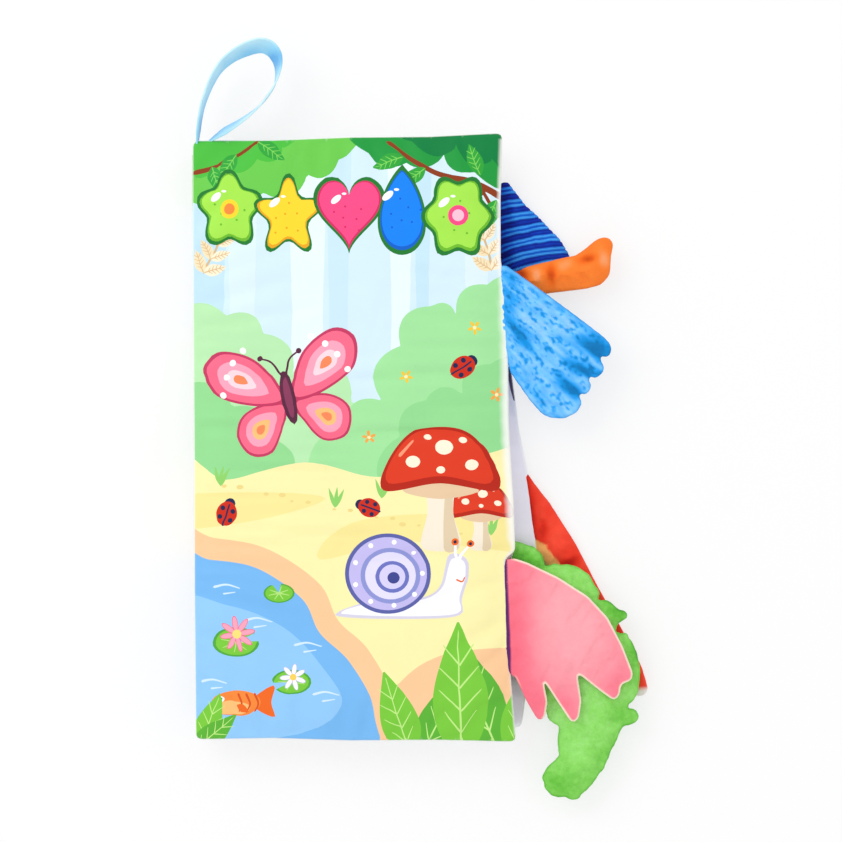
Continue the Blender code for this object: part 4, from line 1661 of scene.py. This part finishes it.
@dataclass
class SpineStrip:
    """The strip of cloth between the spine edges of two leaves.

    Args:
        name: the strip's name.
        solid: the name of its solid.
        lower: the body of the leaf below; not used.
        upper: the body of the leaf above; not used.
        bow_mm: how far it bulges past the leaves, at its foot and its head.
        thick_mm: its thickness.
    """

    name: str
    solid: str
    lower: str
    upper: str
    bow_mm: Pair = (0.2, 1.6)
    thick_mm: float = 0.55

    PRINT = ((0, "77B9F2"), (0.28, "77B9F2"), (0.3, "FBCB9B"), (0.33, "FBF2B0"), (0.44, "FBF2B0"),
             (0.46, "94DC93"), (0.6, "B9EBB2"), (0.68, "B9EBB2"), (0.7, "C3E4F4"), (0.9, "C3E4F4"),
             (0.92, "6BCB4E"), (1, "4BBF3F"))

    def build(self) -> Piece:
        """Build the strip and dress it.

        Returns:
            The strip.
        """
        low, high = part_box(self.solid)
        foot, head = low[1], high[1]
        edge = high[0] + 0.35 * MM
        rows = np.linspace(foot, head, 150)
        turns = np.linspace(0, math.pi, 13)
        bow = np.interp(rows, (foot, head), self.bow_mm) * MM
        bow += 0.2 * MM * speckle(np.stack([rows, rows * 0], 1), 9, 4)
        middle, reach = (low[2] + high[2]) / 2, (high[2] - low[2]) / 2 + 0.3 * MM
        outer = np.array([
            [(edge - b * math.sin(t), y, middle - reach * math.cos(t)) for t in turns]
            for y, b in zip(rows, bow)
        ])
        inner = outer.copy()
        inner[:, :, 0] += self.thick_mm * MM * np.sin(turns)
        inner[:, :, 2] += self.thick_mm * MM * np.cos(turns) * 0.5
        section = np.concatenate([outer, inner[:, ::-1]], 1)
        places = section.reshape(-1, 3)
        share = (places[:, 1] - foot) / (head - foot)
        stops, codes = zip(*self.PRINT)
        dyes_and_painted_light = ramp(share, codes, stops)
        made = blank_mesh(self.name, places, tube_faces(*section.shape[:2]), dyes_and_painted_light)
        made.data.materials.append(Cloths.PRINT.value.make(self.name))
        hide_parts(self.solid)
        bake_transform(made)
        LOG.info("%s: %d faces", self.name, len(made.data.polygons))
        return made


# Tails


@dataclass
class Tail(Pad):
    """A stuffed tail, sewn into a leaf's fore-edge.

    Args:
        leaf: the body whose edge it is sewn into.
        foot_mm: the lower end of its seam.
        head_mm: the upper end of its seam.
        half_mm: half its thickness.
        droop_mm: how far its middle sinks below the leaf's seam.
        tuck_mm: how far its root runs in under the leaf's edge.
        colours: its cloth's colours, from the darkest, which also serve for its painted shade and
            highlights.
    """

    leaf: str = ""
    foot_mm: Pair = (0, 0)
    head_mm: Pair = (0, 1)
    half_mm: float = 2
    droop_mm: float = 0.5
    tuck_mm: float = 1.3
    colours: tuple[str, ...] = ("808080", "FFFFFF")

    def ways(self) -> tuple[Values, Values]:
        """Work out the seam's directions.

        Returns:
            The ways out from the seam and up along it.
        """
        along = np.subtract(self.head_mm, self.foot_mm)
        along /= np.linalg.norm(along)
        return np.array([along[1], -along[0]]), along

    def frame_of(self, points: Points) -> tuple[Values, Values]:
        """Return points' distances out from the seam and up along it, in millimetres."""
        out, along = self.ways()
        return (points / MM - self.foot_mm) @ out, (points / MM - self.foot_mm) @ along

    def outline(self) -> Points:
        """Draw the root in under the leaf's edge.

        Returns:
            The outline.
        """
        loop = super().outline()
        near = limited(1 - self.frame_of(loop)[0])
        return loop - self.ways()[0] * (near * self.tuck_mm * MM)[:, None]

    def puffiness(self) -> Puffiness:
        """Return how it swells."""
        return Puffiness(self.half_mm * MM, 0.85 * MM, 0.9 * MM, 9 * MM, 0.22 * MM, 5, 0.2 * MM, 14)

    def middle(self, points: Points) -> Values:
        """Return the height of its seam over points."""
        share = limited(self.frame_of(points)[0] / 12)
        return sum(levels(self.leaf)) / 2 - self.droop_mm * MM * share**2 * (3 - 2 * share)

    def spots(self, points: Points, table: Corners) -> Values:
        """Return the sum of soft oval spots at points.

        Args:
            points: the points.
            table: a row a spot, with its place out and up from the seam, its turn from
                the seam's line in degrees, its strength, half width and half length.

        Returns:
            One value a point.
        """
        out, up = self.frame_of(points)
        found = np.zeros(len(points))
        for place, height, turn, strength, wide, tall in table:
            s, c = math.sin(math.radians(turn)), math.cos(math.radians(turn))
            along = (out - place) * s + (up - height) * c
            off = (out - place) * c - (up - height) * s
            found += strength * np.exp(-((off / wide) ** 2) - (along / tall) ** 2)
        return found

    def drawn_in(self, loop: Points, table: Corners) -> Points:
        """Return an outline drawn in around spots, as deep as each one's strength."""
        return loop + inward_of(loop) * (self.spots(loop, table) * MM)[:, None]

    def blended(self, shares: Values) -> Points:
        """Return colours between the tail's own, from share 0 to share 1."""
        return ramp(limited(shares), self.colours)

    def attach(self, made: Piece) -> None:
        """Let it ride on the leaf when the leaf is its body; otherwise only bake its transform.

        Args:
            made: the piece.
        """
        if self.body == self.leaf:
            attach(made, self.leaf)
            return
        foot, out = np.array(self.foot_mm) * MM, self.ways()[0]
        start, end = foot - out * 0.6 * MM, foot + out * 5 * MM
        level = float(self.middle(foot[None])[0])
        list(start)
        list(end)
        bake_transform(made)


@dataclass
class StripedTail(Tail):
    """A tail of ribbed plush with pairs of light lines between dark blue bands.

    Args:
        pitch_mm: distance from one dark band to the next.
        ribs: how many ribs lie in that distance.
    """

    pitch_mm: float = 5.1
    ribs: int = 3

    def phase(self, points: Points) -> Values:
        """Count the dark bands.

        Args:
            points: where, in the plane.

        Returns:
            How many lie below each point.
        """
        out, up = self.frame_of(points)
        lift = (0.42 * out - 0.0095 * out**2) * (1 - 0.75 * limited((up - 14) / 28))
        return (up - lift + 0.25 * speckle(points, 9, 3)) / self.pitch_mm

    def relief(self, points: Points) -> Values:
        """Return the height of the ribs."""
        wave = np.abs(np.sin(math.pi * self.phase(points) * self.ribs))
        return (np.sqrt(wave) - 0.7) * 0.34 * MM

    def dye_and_painted_light(self, points: Points) -> Points:
        """Dye dark bands, and light blue lines on a middle blue between them, with painted shade near the
        root.

        Args:
            points: where, in the plane.

        Returns:
            A linear colour a point.
        """
        share = (self.phase(points) + 0.04 * speckle(points, 4, 2)) % 1
        line = (0.5 + 0.5 * np.cos(2 * math.pi * (self.ribs * share - 1.45))) ** 1.3
        light = limited((share - 0.3) / 0.1) * limited((1 - share) / 0.08)
        out = self.frame_of(points)[0]
        # Random tone, with painted shade near the root, where the tail runs in under the leaves above it.
        cloudy = 0.08 * speckle(points, 3.5, 1) - 0.35 * limited(1 - (out + 0.5) / 5)
        tone = light * (0.42 + 0.58 * line) + (1 - light) * (0.08 + 0.3 * line)
        return self.blended(tone + cloudy)

    def outline(self) -> Points:
        """Return its outline, with the point at its head filled out."""
        return self.drawn_in(super().outline(), [(1.4, 41.9, 0, -0.7, 2.2, 1.6)])


@dataclass
class OrangeTail(Tail):
    """A stuffed velour tail with a curled tip and soft folds."""

    # Folds as spots: place out and up, turn, strength, half width and half length. Their colour is painted
    # shade in the folds and painted highlight on the crests; the deep fold at the root is painted shadow
    # under the striped tail.
    FOLDS_MM = (
        (19.1, 9.9, 0, 0.75, 1.6, 3.4), (8.1, 10.4, -50, 1, 1.7, 3),
        (27.7, 18.8, 62, 0.5, 1.2, 4.2), (31.9, 15.6, 80, 0.65, 1.4, 3),
        (13.8, 9.6, 0, -0.3, 1.9, 2.6), (37.6, 15.6, 0, -0.35, 1.9, 2.4),
        (23.5, 13.5, 60, -0.2, 2, 4),
    )

    def relief(self, points: Points) -> Values:
        """Return the height of its folds."""
        return -self.spots(points, self.FOLDS_MM) * MM

    def dye_and_painted_light(self, points: Points) -> Points:
        """Return orange, with painted shade in the folds and painted highlights on their crests."""
        cloudy = 0.08 * speckle(points, 4, self.seed)
        # Painted shade in the folds and painted highlights on the raised crests.
        return self.blended(0.62 - 0.75 * self.spots(points, self.FOLDS_MM) + cloudy)


@dataclass
class RedTail(Tail):
    """A long crescent tail of red plush with a peach-coloured lower left edge."""

    # Spots of painted shade; the one of negative strength is a painted highlight.
    SHADES_MM = ((11, -9.7, 70, 0.75, 1.6, 4), (3.4, 3.3, 10, 0.5, 1.5, 3.4),
                 (0, 12, 0, 0.6, 1.5, 14), (8.5, 2, 30, -0.25, 3, 6),
                 (12.5, 6, -31, 0.3, 0.9, 22))
    HEAD_MM = (-0.7, 1.6)

    def dye_and_painted_light(self, points: Points) -> Points:
        """Dye it red with painted shade and a painted highlight, peach along the lower left edge and pale
        at the tip's foot.

        Args:
            points: where, in the plane.

        Returns:
            A linear colour a point.
        """
        out, up = self.frame_of(points)
        cloudy = 0.2 * speckle(points, 6, self.seed) + 0.12 * speckle(points, 2, 1)
        # Painted shade from the spots along the seam side and in the hollows, with one painted highlight.
        found = self.blended(0.72 + cloudy - self.spots(points, self.SHADES_MM))
        edge = side_distance(points, self.rim) / MM
        left = limited(self.left_of(out, up) / 0.8)
        left *= limited((0.6 - 1.45 * up - out) / 0.8)
        for reach, code in ((4.6, "FFB068"), (0.9, "FFF0A8")):
            found = mixed(found, left * limited((reach - edge) / 0.5), code)
        return mixed(found, limited((-up - 57) / 1.5), "E9E2DA")

    def left_of(self, out: Values, up: Values) -> Values:
        """Return how far left of its own middle line points lie, along the upper part."""
        middle = 7.4 - 0.36 * (up + 4)
        return (middle - out) * (up < 0.4) * (up > -34)

    def outline(self) -> Points:
        """Make it fuller along the lower left edge, and shift its head.

        Returns:
            The outline.
        """
        loop = super().outline()
        out, up = self.frame_of(loop)
        fuller = limited(self.left_of(out, up) / 2) * limited((0.4 - up) / 3)
        loop = loop - inward_of(loop) * (fuller * 3.9 * MM)[:, None]
        head = limited((up - 17) / 5.5) ** 2
        return loop + head[:, None] * np.array(self.HEAD_MM) * MM


@dataclass
class GreenTail(Tail):
    """A plume of fuzzy green plush with tufted edges."""

    NOTCHES_MM = ((41.9, 9.2, 0, 3.4, 1.2, 1.4), (34.8, 20.6, 0, 2.8, 1.4, 1.4),
                  (41.6, 13.6, 0, -1.1, 1.6, 1.6), (42.9, -19.4, 0, 1.2, 1.4, 1.4),
                  (15.2, 33.2, 0, 2.8, 1.7, 1.7), (21.5, 33.2, 0, -0.7, 3, 2))
    # Spots of painted shade on the tufts, hollows and edges; the one of negative strength is a painted
    # highlight.
    SHADES_MM = ((7, 33, 0, 0.5, 8, 5), (40.5, 15, 30, 0.55, 4, 3.5),
                 (40, -22, 0, 0.3, 5, 3), (46, 0, 15, 0.4, 3.5, 9),
                 (36, 20, 30, 0.25, 3, 6), (24, -14, 0, -0.15, 10, 9),
                 (17, -47, 0, 0.35, 9, 6), (34, -37, 35, 0.25, 3, 12))

    def dye_and_painted_light(self, points: Points) -> Points:
        """Dye it green, with painted shade along the edge and in the tufts.

        Args:
            points: where, in the plane.

        Returns:
            A linear colour a point.
        """
        cloudy = 0.14 * speckle(points, 5, 1) + 0.14 * speckle(points, 1.4, 2)
        # Painted shade along the edge, and from the spots.
        rim = 0.3 * limited(1 - side_distance(points, self.rim) / (0.8 * MM))
        return self.blended(0.7 + cloudy - rim - self.spots(points, self.SHADES_MM))

    def outline(self) -> Points:
        """Cut the notches, and raise short tufts along the edge.

        Returns:
            The outline.
        """
        loop = self.drawn_in(super().outline(), self.NOTCHES_MM)
        tuft = 0.45 * speckle(loop, 4.5, 6) + 0.3 * speckle(loop, 1.7, 7)
        free = limited(self.frame_of(loop)[0] / 3)
        return loop - inward_of(loop) * (tuft * free * MM)[:, None]


@dataclass
class FanTail(Tail):
    """A flat fan of crushed velvet with creases between its lobes.

    Places are out and up from the seam: the point that its streaks run from, and the
    notches between its lobes.
    """

    ROOT_MM = (-50, 55)
    NOTCHES_MM = ((36.2, -13.9), (31.4, -20.7), (27.5, -26.3))
    # Spots of painted shade in the lobes and near the root.
    SHADES_MM = ((33.2, -9.4, 109, 0.8, 3.3, 7), (29.4, -17.4, 114, 0.7, 2.4, 7),
                 (23.6, -23.8, 127, 0.65, 2.4, 5), (6, -4.8, 143, 0.6, 1.7, 7.5),
                 (2, 9.5, 0, 0.25, 4, 9))

    def outline(self) -> Points:
        """Return its outline, drawn in at the notches."""
        table = [(x, y, 0, 1.1, 1.2, 1.2) for x, y in self.NOTCHES_MM]
        return self.drawn_in(super().outline(), table)

    def creases(self, points: Points, width: float, reach: float) -> Values:
        """Return how near points lie to the lines that run in from the notches.

        Args:
            points: the points.
            width: half a line's width.
            reach: its length.

        Returns:
            One value a point, from 0 to 1.
        """
        out, up = self.frame_of(points)
        found = np.zeros(len(points))
        for x, y in self.NOTCHES_MM:
            way = np.subtract((x, y), self.ROOT_MM)
            way /= np.linalg.norm(way)
            along = (x - out) * way[0] + (y - up) * way[1]
            off = (up - y) * way[0] - (out - x) * way[1]
            fade = limited(1 - along / reach)
            found = np.maximum(found, fade * np.exp(-((off / width) ** 2)))
        return found

    def relief(self, points: Points) -> Values:
        """Return the height of the creases and of the crushed pile."""
        crushed = speckle(points, 1.6, self.seed + 3)
        return (0.13 * crushed - 0.6 * self.creases(points, 0.7, 12)) * MM

    def dye_and_painted_light(self, points: Points) -> Points:
        """Dye it pale blue with dark dashes along the fan, and painted shade in its lobes, creases and
        edge.

        Args:
            points: where, in the plane.

        Returns:
            A linear colour a point.
        """
        out, up = self.frame_of(points)
        angle = np.arctan2(up - self.ROOT_MM[1], out - self.ROOT_MM[0])
        far = np.hypot(up - self.ROOT_MM[1], out - self.ROOT_MM[0])
        streak = speckle(np.stack([angle * 60, far * 0.16], 1) * MM, 0.8, 1)
        broad = speckle(np.stack([angle * 14, far * 0.06], 1) * MM, 0.8, 4)
        row = np.cos((angle * 60 + 0.6 * speckle(points, 7, 5)) * math.tau / 2.9)
        dash = 0.75 * speckle(np.stack([angle * 80, far * 0.5], 1) * MM, 0.8, 2)
        depth = side_distance(points, self.rim) / MM
        # Painted shade: the spots darken the lobes, and the creases and the edge are darkened; streaks and
        # dashes are the velvet's own tone.
        tone = 0.74 + 0.2 * streak + 0.18 * broad - self.spots(points, self.SHADES_MM)
        tone -= 1.25 * np.clip(dash + 0.15 * row - 0.06, 0, 0.4) * limited(depth / 3)
        tone -= 0.3 * self.creases(points, 0.6, 12) + 0.3 * limited(1 - depth / 0.5)
        return self.blended(tone)


@dataclass
class WingTail(Tail):
    """A pink felt wing with a cream rim."""

    RIM_MM = 0.5
    SEAM_SHADOW_MM = (-0.3, -1.1)
    PALE_MM = ((21, 10, 0, 0.4, 15, 24), (0, 3, 0, -0.5, 7, 28),
               (9, -19, 0, -0.3, 7, 8), (19, -21, 0, -0.2, 4, 6),
               (37, -14, 0, -0.2, 5, 6))

    def dye_and_painted_light(self, points: Points) -> Points:
        """Dye it pink, paler in the middle, cream along the rim, with painted shadow in the seam.

        Args:
            points: where, in the plane.

        Returns:
            A linear colour a point.
        """
        depth = side_distance(points, self.rim) / MM
        out, up = self.frame_of(points)
        cloudy = 0.05 * speckle(points, 6, 1) + 0.05 * speckle(points, 1.5, 2)
        found = self.blended(0.66 + cloudy + self.spots(points, self.PALE_MM))
        free = limited((up + 9 + 1.65 * (out + 0.3)) / 2 - 0.5) * limited(out / 2)
        rim = limited((self.RIM_MM - depth) / 0.25 + 0.5) * free
        # Painted shadow: dark purple in the seam, where the wing runs in under the cover's edge.
        inner = np.interp(up, (0, 33), self.SEAM_SHADOW_MM)
        seam = 0.95 * limited((inner - out) / 0.35)
        return mixed(mixed(found, rim, "FFEBD4"), seam, "4A2068")


# Ribbon loop


@dataclass
class RibbonLoop:
    """The satin ribbon loop at the spine's head, on edge along its route.

    Args:
        reach_mm: how far it stands above the cover.
        span_mm: how far it leans to the side.
        width_mm: the ribbon's width.
        thick_mm: its thickness.
        tilt: the most that its width leans, in degrees.
        root_mm: the middle of its root.
    """

    reach_mm: float = 33.6
    span_mm: float = 26.4
    width_mm: float = 9
    thick_mm: float = 0.6
    tilt: float = 34
    root_mm: tuple[float, float, float] = (-52.6, 107.235, 15.1)

    ROUTE_SHARES = (
        (-0.078, -0.1), (-0.055, 0.071), (-0.031, 0.208), (0.007, 0.346), (0.104, 0.547),
        (0.218, 0.705), (0.38, 0.827), (0.575, 0.912), (0.77, 0.954), (0.905, 0.922),
        (0.992, 0.832), (1.016, 0.705), (0.972, 0.547), (0.864, 0.409), (0.736, 0.293),
        (0.541, 0.171), (0.319, 0.06), (0.09, -0.06),
    )
    TILT_SHARES = (0.1, 0.1, 0.13, 0.18, 0.26, 0.38, 0.56, 0.78, 0.88, 0.9, 0.75, 0.4, 0.08, 0.05,
                   0.14, 0.32, 0.5, 0.5)
    # Painted shade at the bends: share along the route, width and depth.
    DARK_SHARES = ((0.6, 0.05, 0.75), (0.05, 0.07, 0.5), (0.97, 0.05, 0.3))
    BLUES = ("62B2E8", "98DAF8", "CCF2FD")

    def build(self) -> Piece:
        """Build the ribbon and dress it.

        Returns:
            The ribbon.
        """
        route = smooth_curve(np.array(self.ROUTE_SHARES) * (self.span_mm, self.reach_mm), 8)
        share = np.linspace(0, 1, len(route))
        stations = np.linspace(0, 1, len(self.TILT_SHARES))
        tilt = np.radians(np.interp(share, stations, self.TILT_SHARES) * self.tilt)
        ahead = unit(np.gradient(route, axis=0))
        side = np.stack([-ahead[:, 1], ahead[:, 0], ahead[:, 0] * 0], 1)
        up = np.array([0, 0, 1])
        across = up * np.cos(tilt)[:, None] + side * np.sin(tilt)[:, None]
        through = side * np.cos(tilt)[:, None] - up * np.sin(tilt)[:, None]
        across *= limited(0.12 + np.minimum(share, 1 - share) * 18)[:, None]
        centre = np.pad(route, ((0, 0), (0, 1))) + self.root_mm
        section = self.section()
        rings = np.stack([centre + across * w + through * t for w, t in section], 1) * MM
        count, size = rings.shape[:2]
        places = rings.reshape(-1, 3)
        # Painted shade at the bends, a painted highlight towards the upper edge, and random tone.
        shade = self.shade(np.repeat(share, size), np.tile([w for w, t in section], count))
        tone = limited(shade + 0.2 * speckle(places, 6, 1))
        made = blank_mesh("satin_loop", places, tube_faces(count, size), ramp(tone, self.BLUES))
        made.data.materials.append(Cloths.RIBBON.value.make("satin_loop"))
        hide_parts("ribbon_loop")
        root = np.array(self.root_mm) * MM
        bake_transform(made)
        LOG.info("satin_loop: %d faces", len(made.data.polygons))
        return made

    def shade(self, share: Values, across: Values) -> Values:
        """Return the ribbon's tone with painted shade at its bends and a painted highlight towards its
        upper edge, so far along its route and across its width.
        """
        dark = sum(deep * np.exp(-(((share - at) / wide) ** 2)) for at, wide, deep in self.DARK_SHARES)
        return 0.72 + 0.22 * across / (self.width_mm / 2) - dark

    def section(self) -> list[Pair]:
        """Lay out the ribbon's cross-section.

        Returns:
            Places across its width and through it.
        """
        steps = np.linspace(-1, 1, 25)
        half = self.width_mm / 2
        ridge = 0.035 * np.cos(steps * math.pi * 9)
        thick = self.thick_mm / 2 * np.where(np.abs(steps) > 0.9, 1.12, 0.9) + ridge
        face = [(s * half, t) for s, t in zip(steps, thick)]
        return face + [(s * half, -t) for s, t in zip(steps[::-1], thick[::-1])]


# Fillings, stage, camera


def dress_fillings(nodes: dict[str, Piece]) -> None:
    """Give the films, waddings and stuffings inside the pieces their finishes.

    Args:
        nodes: the frame's solids by name.
    """
    kinds = {"_crinkle_film": (Cloths.FILM, "DDE6EE"), "_wadding": (Cloths.WADDING, "F2F0EA"),
             "_stuffing": (Cloths.WADDING, "F4F2EC")}
    for name, node in nodes.items():
        for ending, (cloth, code) in kinds.items():
            if name.endswith(ending):
                node.data.materials.clear()
                node.data.materials.append(cloth.value.make(name, hex_colour(code)))
                LOG.info("%s: dressed", name)


@dataclass
class Studio:
    """A pale floor, soft light and the camera straight above.

    Args:
        floor_size: width of the floor.
        view_width_mm: width of the picture at the cover's height.
        centre_mm: the middle of the picture.
        lens_mm: the camera's focal length.
        glow_share: how much of the floor's white is its own, so that its shadow is pale.
    """

    floor_size: float = 6
    view_width_mm: float = 299.2
    centre_mm: tuple[float, float, float] = (24.95, 5.83, 15)
    lens_mm: float = 200
    glow_share: float = 0.68

    def build(self) -> None:
        """Build the floor, lights and camera."""
        bpy.context.scene.view_settings.view_transform = "Standard"
        self.floor()
        self.lights()
        self.camera()

    def floor(self) -> None:
        """Build the floor, white in the picture with its soft shadow."""
        half = self.floor_size / 2
        data = bpy.data.meshes.new("floor")
        corners = [(-half, -half, 0), (half, -half, 0), (half, half, 0), (-half, half, 0)]
        data.from_pydata(corners, [], [(0, 1, 2, 3)])
        made = placed("floor", data)
        shader = Shader("floor")
        shader.plug(shader.surface, {"Base Color": (0.93, 0.93, 0.93, 1), "Roughness": 0.9,
                                     "Specular IOR Level": 0.1})
        rays = shader.add("LightPath", {}).outputs
        seen = shader.maths("MAXIMUM", rays["Is Camera Ray"], rays["Is Glossy Ray"])
        seen = shader.maths("MAXIMUM", seen, rays["Is Transmission Ray"])
        glow = shader.add("Emission", {"Color": (1, 1, 1, 1), "Strength": 1})
        both = shader.add("MixShader", {0: shader.maths("MULTIPLY", seen, self.glow_share),
                                        1: shader.surface.outputs[0], 2: glow.outputs[0]})
        shader.tree.links.new(both.outputs[0], shader.tree.nodes["Material Output"].inputs[0])
        data.materials.append(shader.material)

    def lights(self) -> None:
        """Light the book evenly, a little stronger from the upper left."""
        world = bpy.data.worlds.new("sky")
        world.use_nodes = True
        sky = world.node_tree.nodes["Background"].inputs
        sky["Color"].default_value = (1, 1, 1, 1)
        sky["Strength"].default_value = 0.93
        bpy.context.scene.world = world
        data = bpy.data.lights.new("soft_lamp", "AREA")
        data.size = 0.7
        data.energy = 3
        lamp = placed("soft_lamp", data)
        lamp.location = (-0.55, 0.5, 0.75)
        lamp.rotation_euler = Vector((0.58, -0.5, -0.72)).to_track_quat("-Z", "Y").to_euler()

    def camera(self) -> None:
        """Look straight down on the cover."""
        data = bpy.data.cameras.new("camera")
        data.lens = self.lens_mm
        data.sensor_width = 36
        data.clip_end = 20
        away = self.view_width_mm * self.lens_mm / data.sensor_width
        made = placed("camera", data)
        x, y, z = self.centre_mm
        made.location = (x * MM, y * MM, (z + away) * MM)
        bpy.context.scene.camera = made


# The book


FRONT_FORE_MM = (
    (-107, 0), (-83, -0.3), (-72, -0.8), (-58, -1), (-43, -1.4), (-40.5, 2.2), (-36, 2.2),
    (-22, 2.1), (-8, 1.55), (6, 1.25), (20, 1.6), (35, 1.95), (49, 1.6), (56, 0.95), (63, -0.35),
    (84, -0.7), (106, -0.3),
)
FRONT_WRAP_MM = ((-105, 0.1), (-58, 0.6), (0, 0.7), (70, 1.2))
# Heights and reach of the painted highlight along the front cover's fore-edge.
FRONT_HIGHLIGHT_MM = ((-60, 0.2), (-42, 0.5), (-36, 3), (0, 3.1), (45, 2.9), (60, 1.5), (105, 0.9))
BACK_FORE_MM = ((-60, 0), (-40, 1), (-12, 1), (5, 0))


def make_leaves() -> None:
    """Build the three leaves with their prints."""
    size = (110 * MM, 216.5 * MM)
    prints = {Side.UPPER: PagePicture(*size, Scene.LAGOON, True),
              Side.LOWER: PagePicture(*size, Scene.DUNES)}
    Leaf("back_cover", "back_cover", "back_print", Cloths.PRINT, seed=3, prints=prints,
         wrap_mm=((0, -0.6),), fore_mm=BACK_FORE_MM).build()
    prints = {Side.UPPER: PagePicture(*size, Scene.NIGHT), Side.LOWER: PagePicture(*size, Scene.GARDEN)}
    Leaf("inner_leaf", "inner_leaf", "page_print", Cloths.PRINT, seed=7, prints=prints).build()
    prints = {Side.UPPER: Meadow(*size), Side.LOWER: PagePicture(*size, Scene.HILLS)}
    Leaf("front_cover", "front_cover", "front_print", Cloths.PRINT, seed=11, prints=prints,
         wrap_mm=FRONT_WRAP_MM, fore_mm=FRONT_FORE_MM, highlight_mm=FRONT_HIGHLIGHT_MM,
         over_mm=0.8).build()


def make_tails() -> None:
    """Build the six tails."""
    StripedTail("striped_tail", "striped_tail", "striped_plush", Cloths.RIBBED, 0.5, 1.4, 0.7,
                0.05, 0.8, 1, "back_cover", (54.94, 48.85), (53.75, 90.74), 2.5, 0.3,
                colours=("000A6C", "0432B4", "0E74DC", "48ACFF")).build()
    RedTail("red_tail", "red_tail", "red_plush", Cloths.VELOUR, 0.7, 1.5, 0.6, 0.08, 1.2, 2,
            "back_cover", (65.74, -36.75), (62.56, -12.94), 2.2, 0.6, 0.5,
            colours=("C4160A", "EC321C", "FF5038")).build()
    OrangeTail("orange_tail", "inner_leaf", "orange_velour", Cloths.VELOUR, 0.55, 1.2, 0.7, 0.06,
               1, 3, "inner_leaf", (52.37, 48.15), (52.37, 58.49), 3.2, 0.3,
               colours=("BC4008", "EC6410", "FF8430", "FFB482")).build()
    GreenTail("green_tail", "inner_leaf", "green_plush", Cloths.FLEECE, 0.7, 1.5, 0.7, 0.22, 1.5,
              4, "inner_leaf", (55.66, -77.35), (55.13, -40.05), 3.2, 0.2,
              colours=("479F2A", "6CC644", "90DF68", "A8EE8A")).build()
    FanTail("fan_tail", "fan_tail", "blue_velvet", Cloths.CRUSHED, 0.5, 1.4, 0.4, 0.05, 1, 5,
            "front_cover", (54.15, 41.05), (54.02, 61.99), 1.6, 0.9,
            colours=("0078BC", "0090E0", "30A6FA", "76C4FF", "A2D8FF")).build()
    WingTail("wing_tail", "wing_tail", "pink_felt", Cloths.FELT, 0.5, 1.4, 0.4, 0.04, 0.9, 6,
             "front_cover", (57.28, -75.55), (56.71, -42.48), 1.6, 0.8, 2.6,
             colours=("F5627A", "FF7F92", "FFA8B2")).build()


def main() -> None:
    """Build the book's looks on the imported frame."""
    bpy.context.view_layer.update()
    make_leaves()
    SpineStrip("spine_strip_lower", "spine_cloth_lower", "back_cover", "inner_leaf").build()
    SpineStrip("spine_strip_upper", "spine_cloth_upper", "inner_leaf", "front_cover").build()
    make_tails()
    RibbonLoop().build()
    dress_fillings(frame["nodes"])
    Studio().build()


if __name__ == "__main__":
    logging.basicConfig(level=logging.INFO, format="%(message)s")
    main()
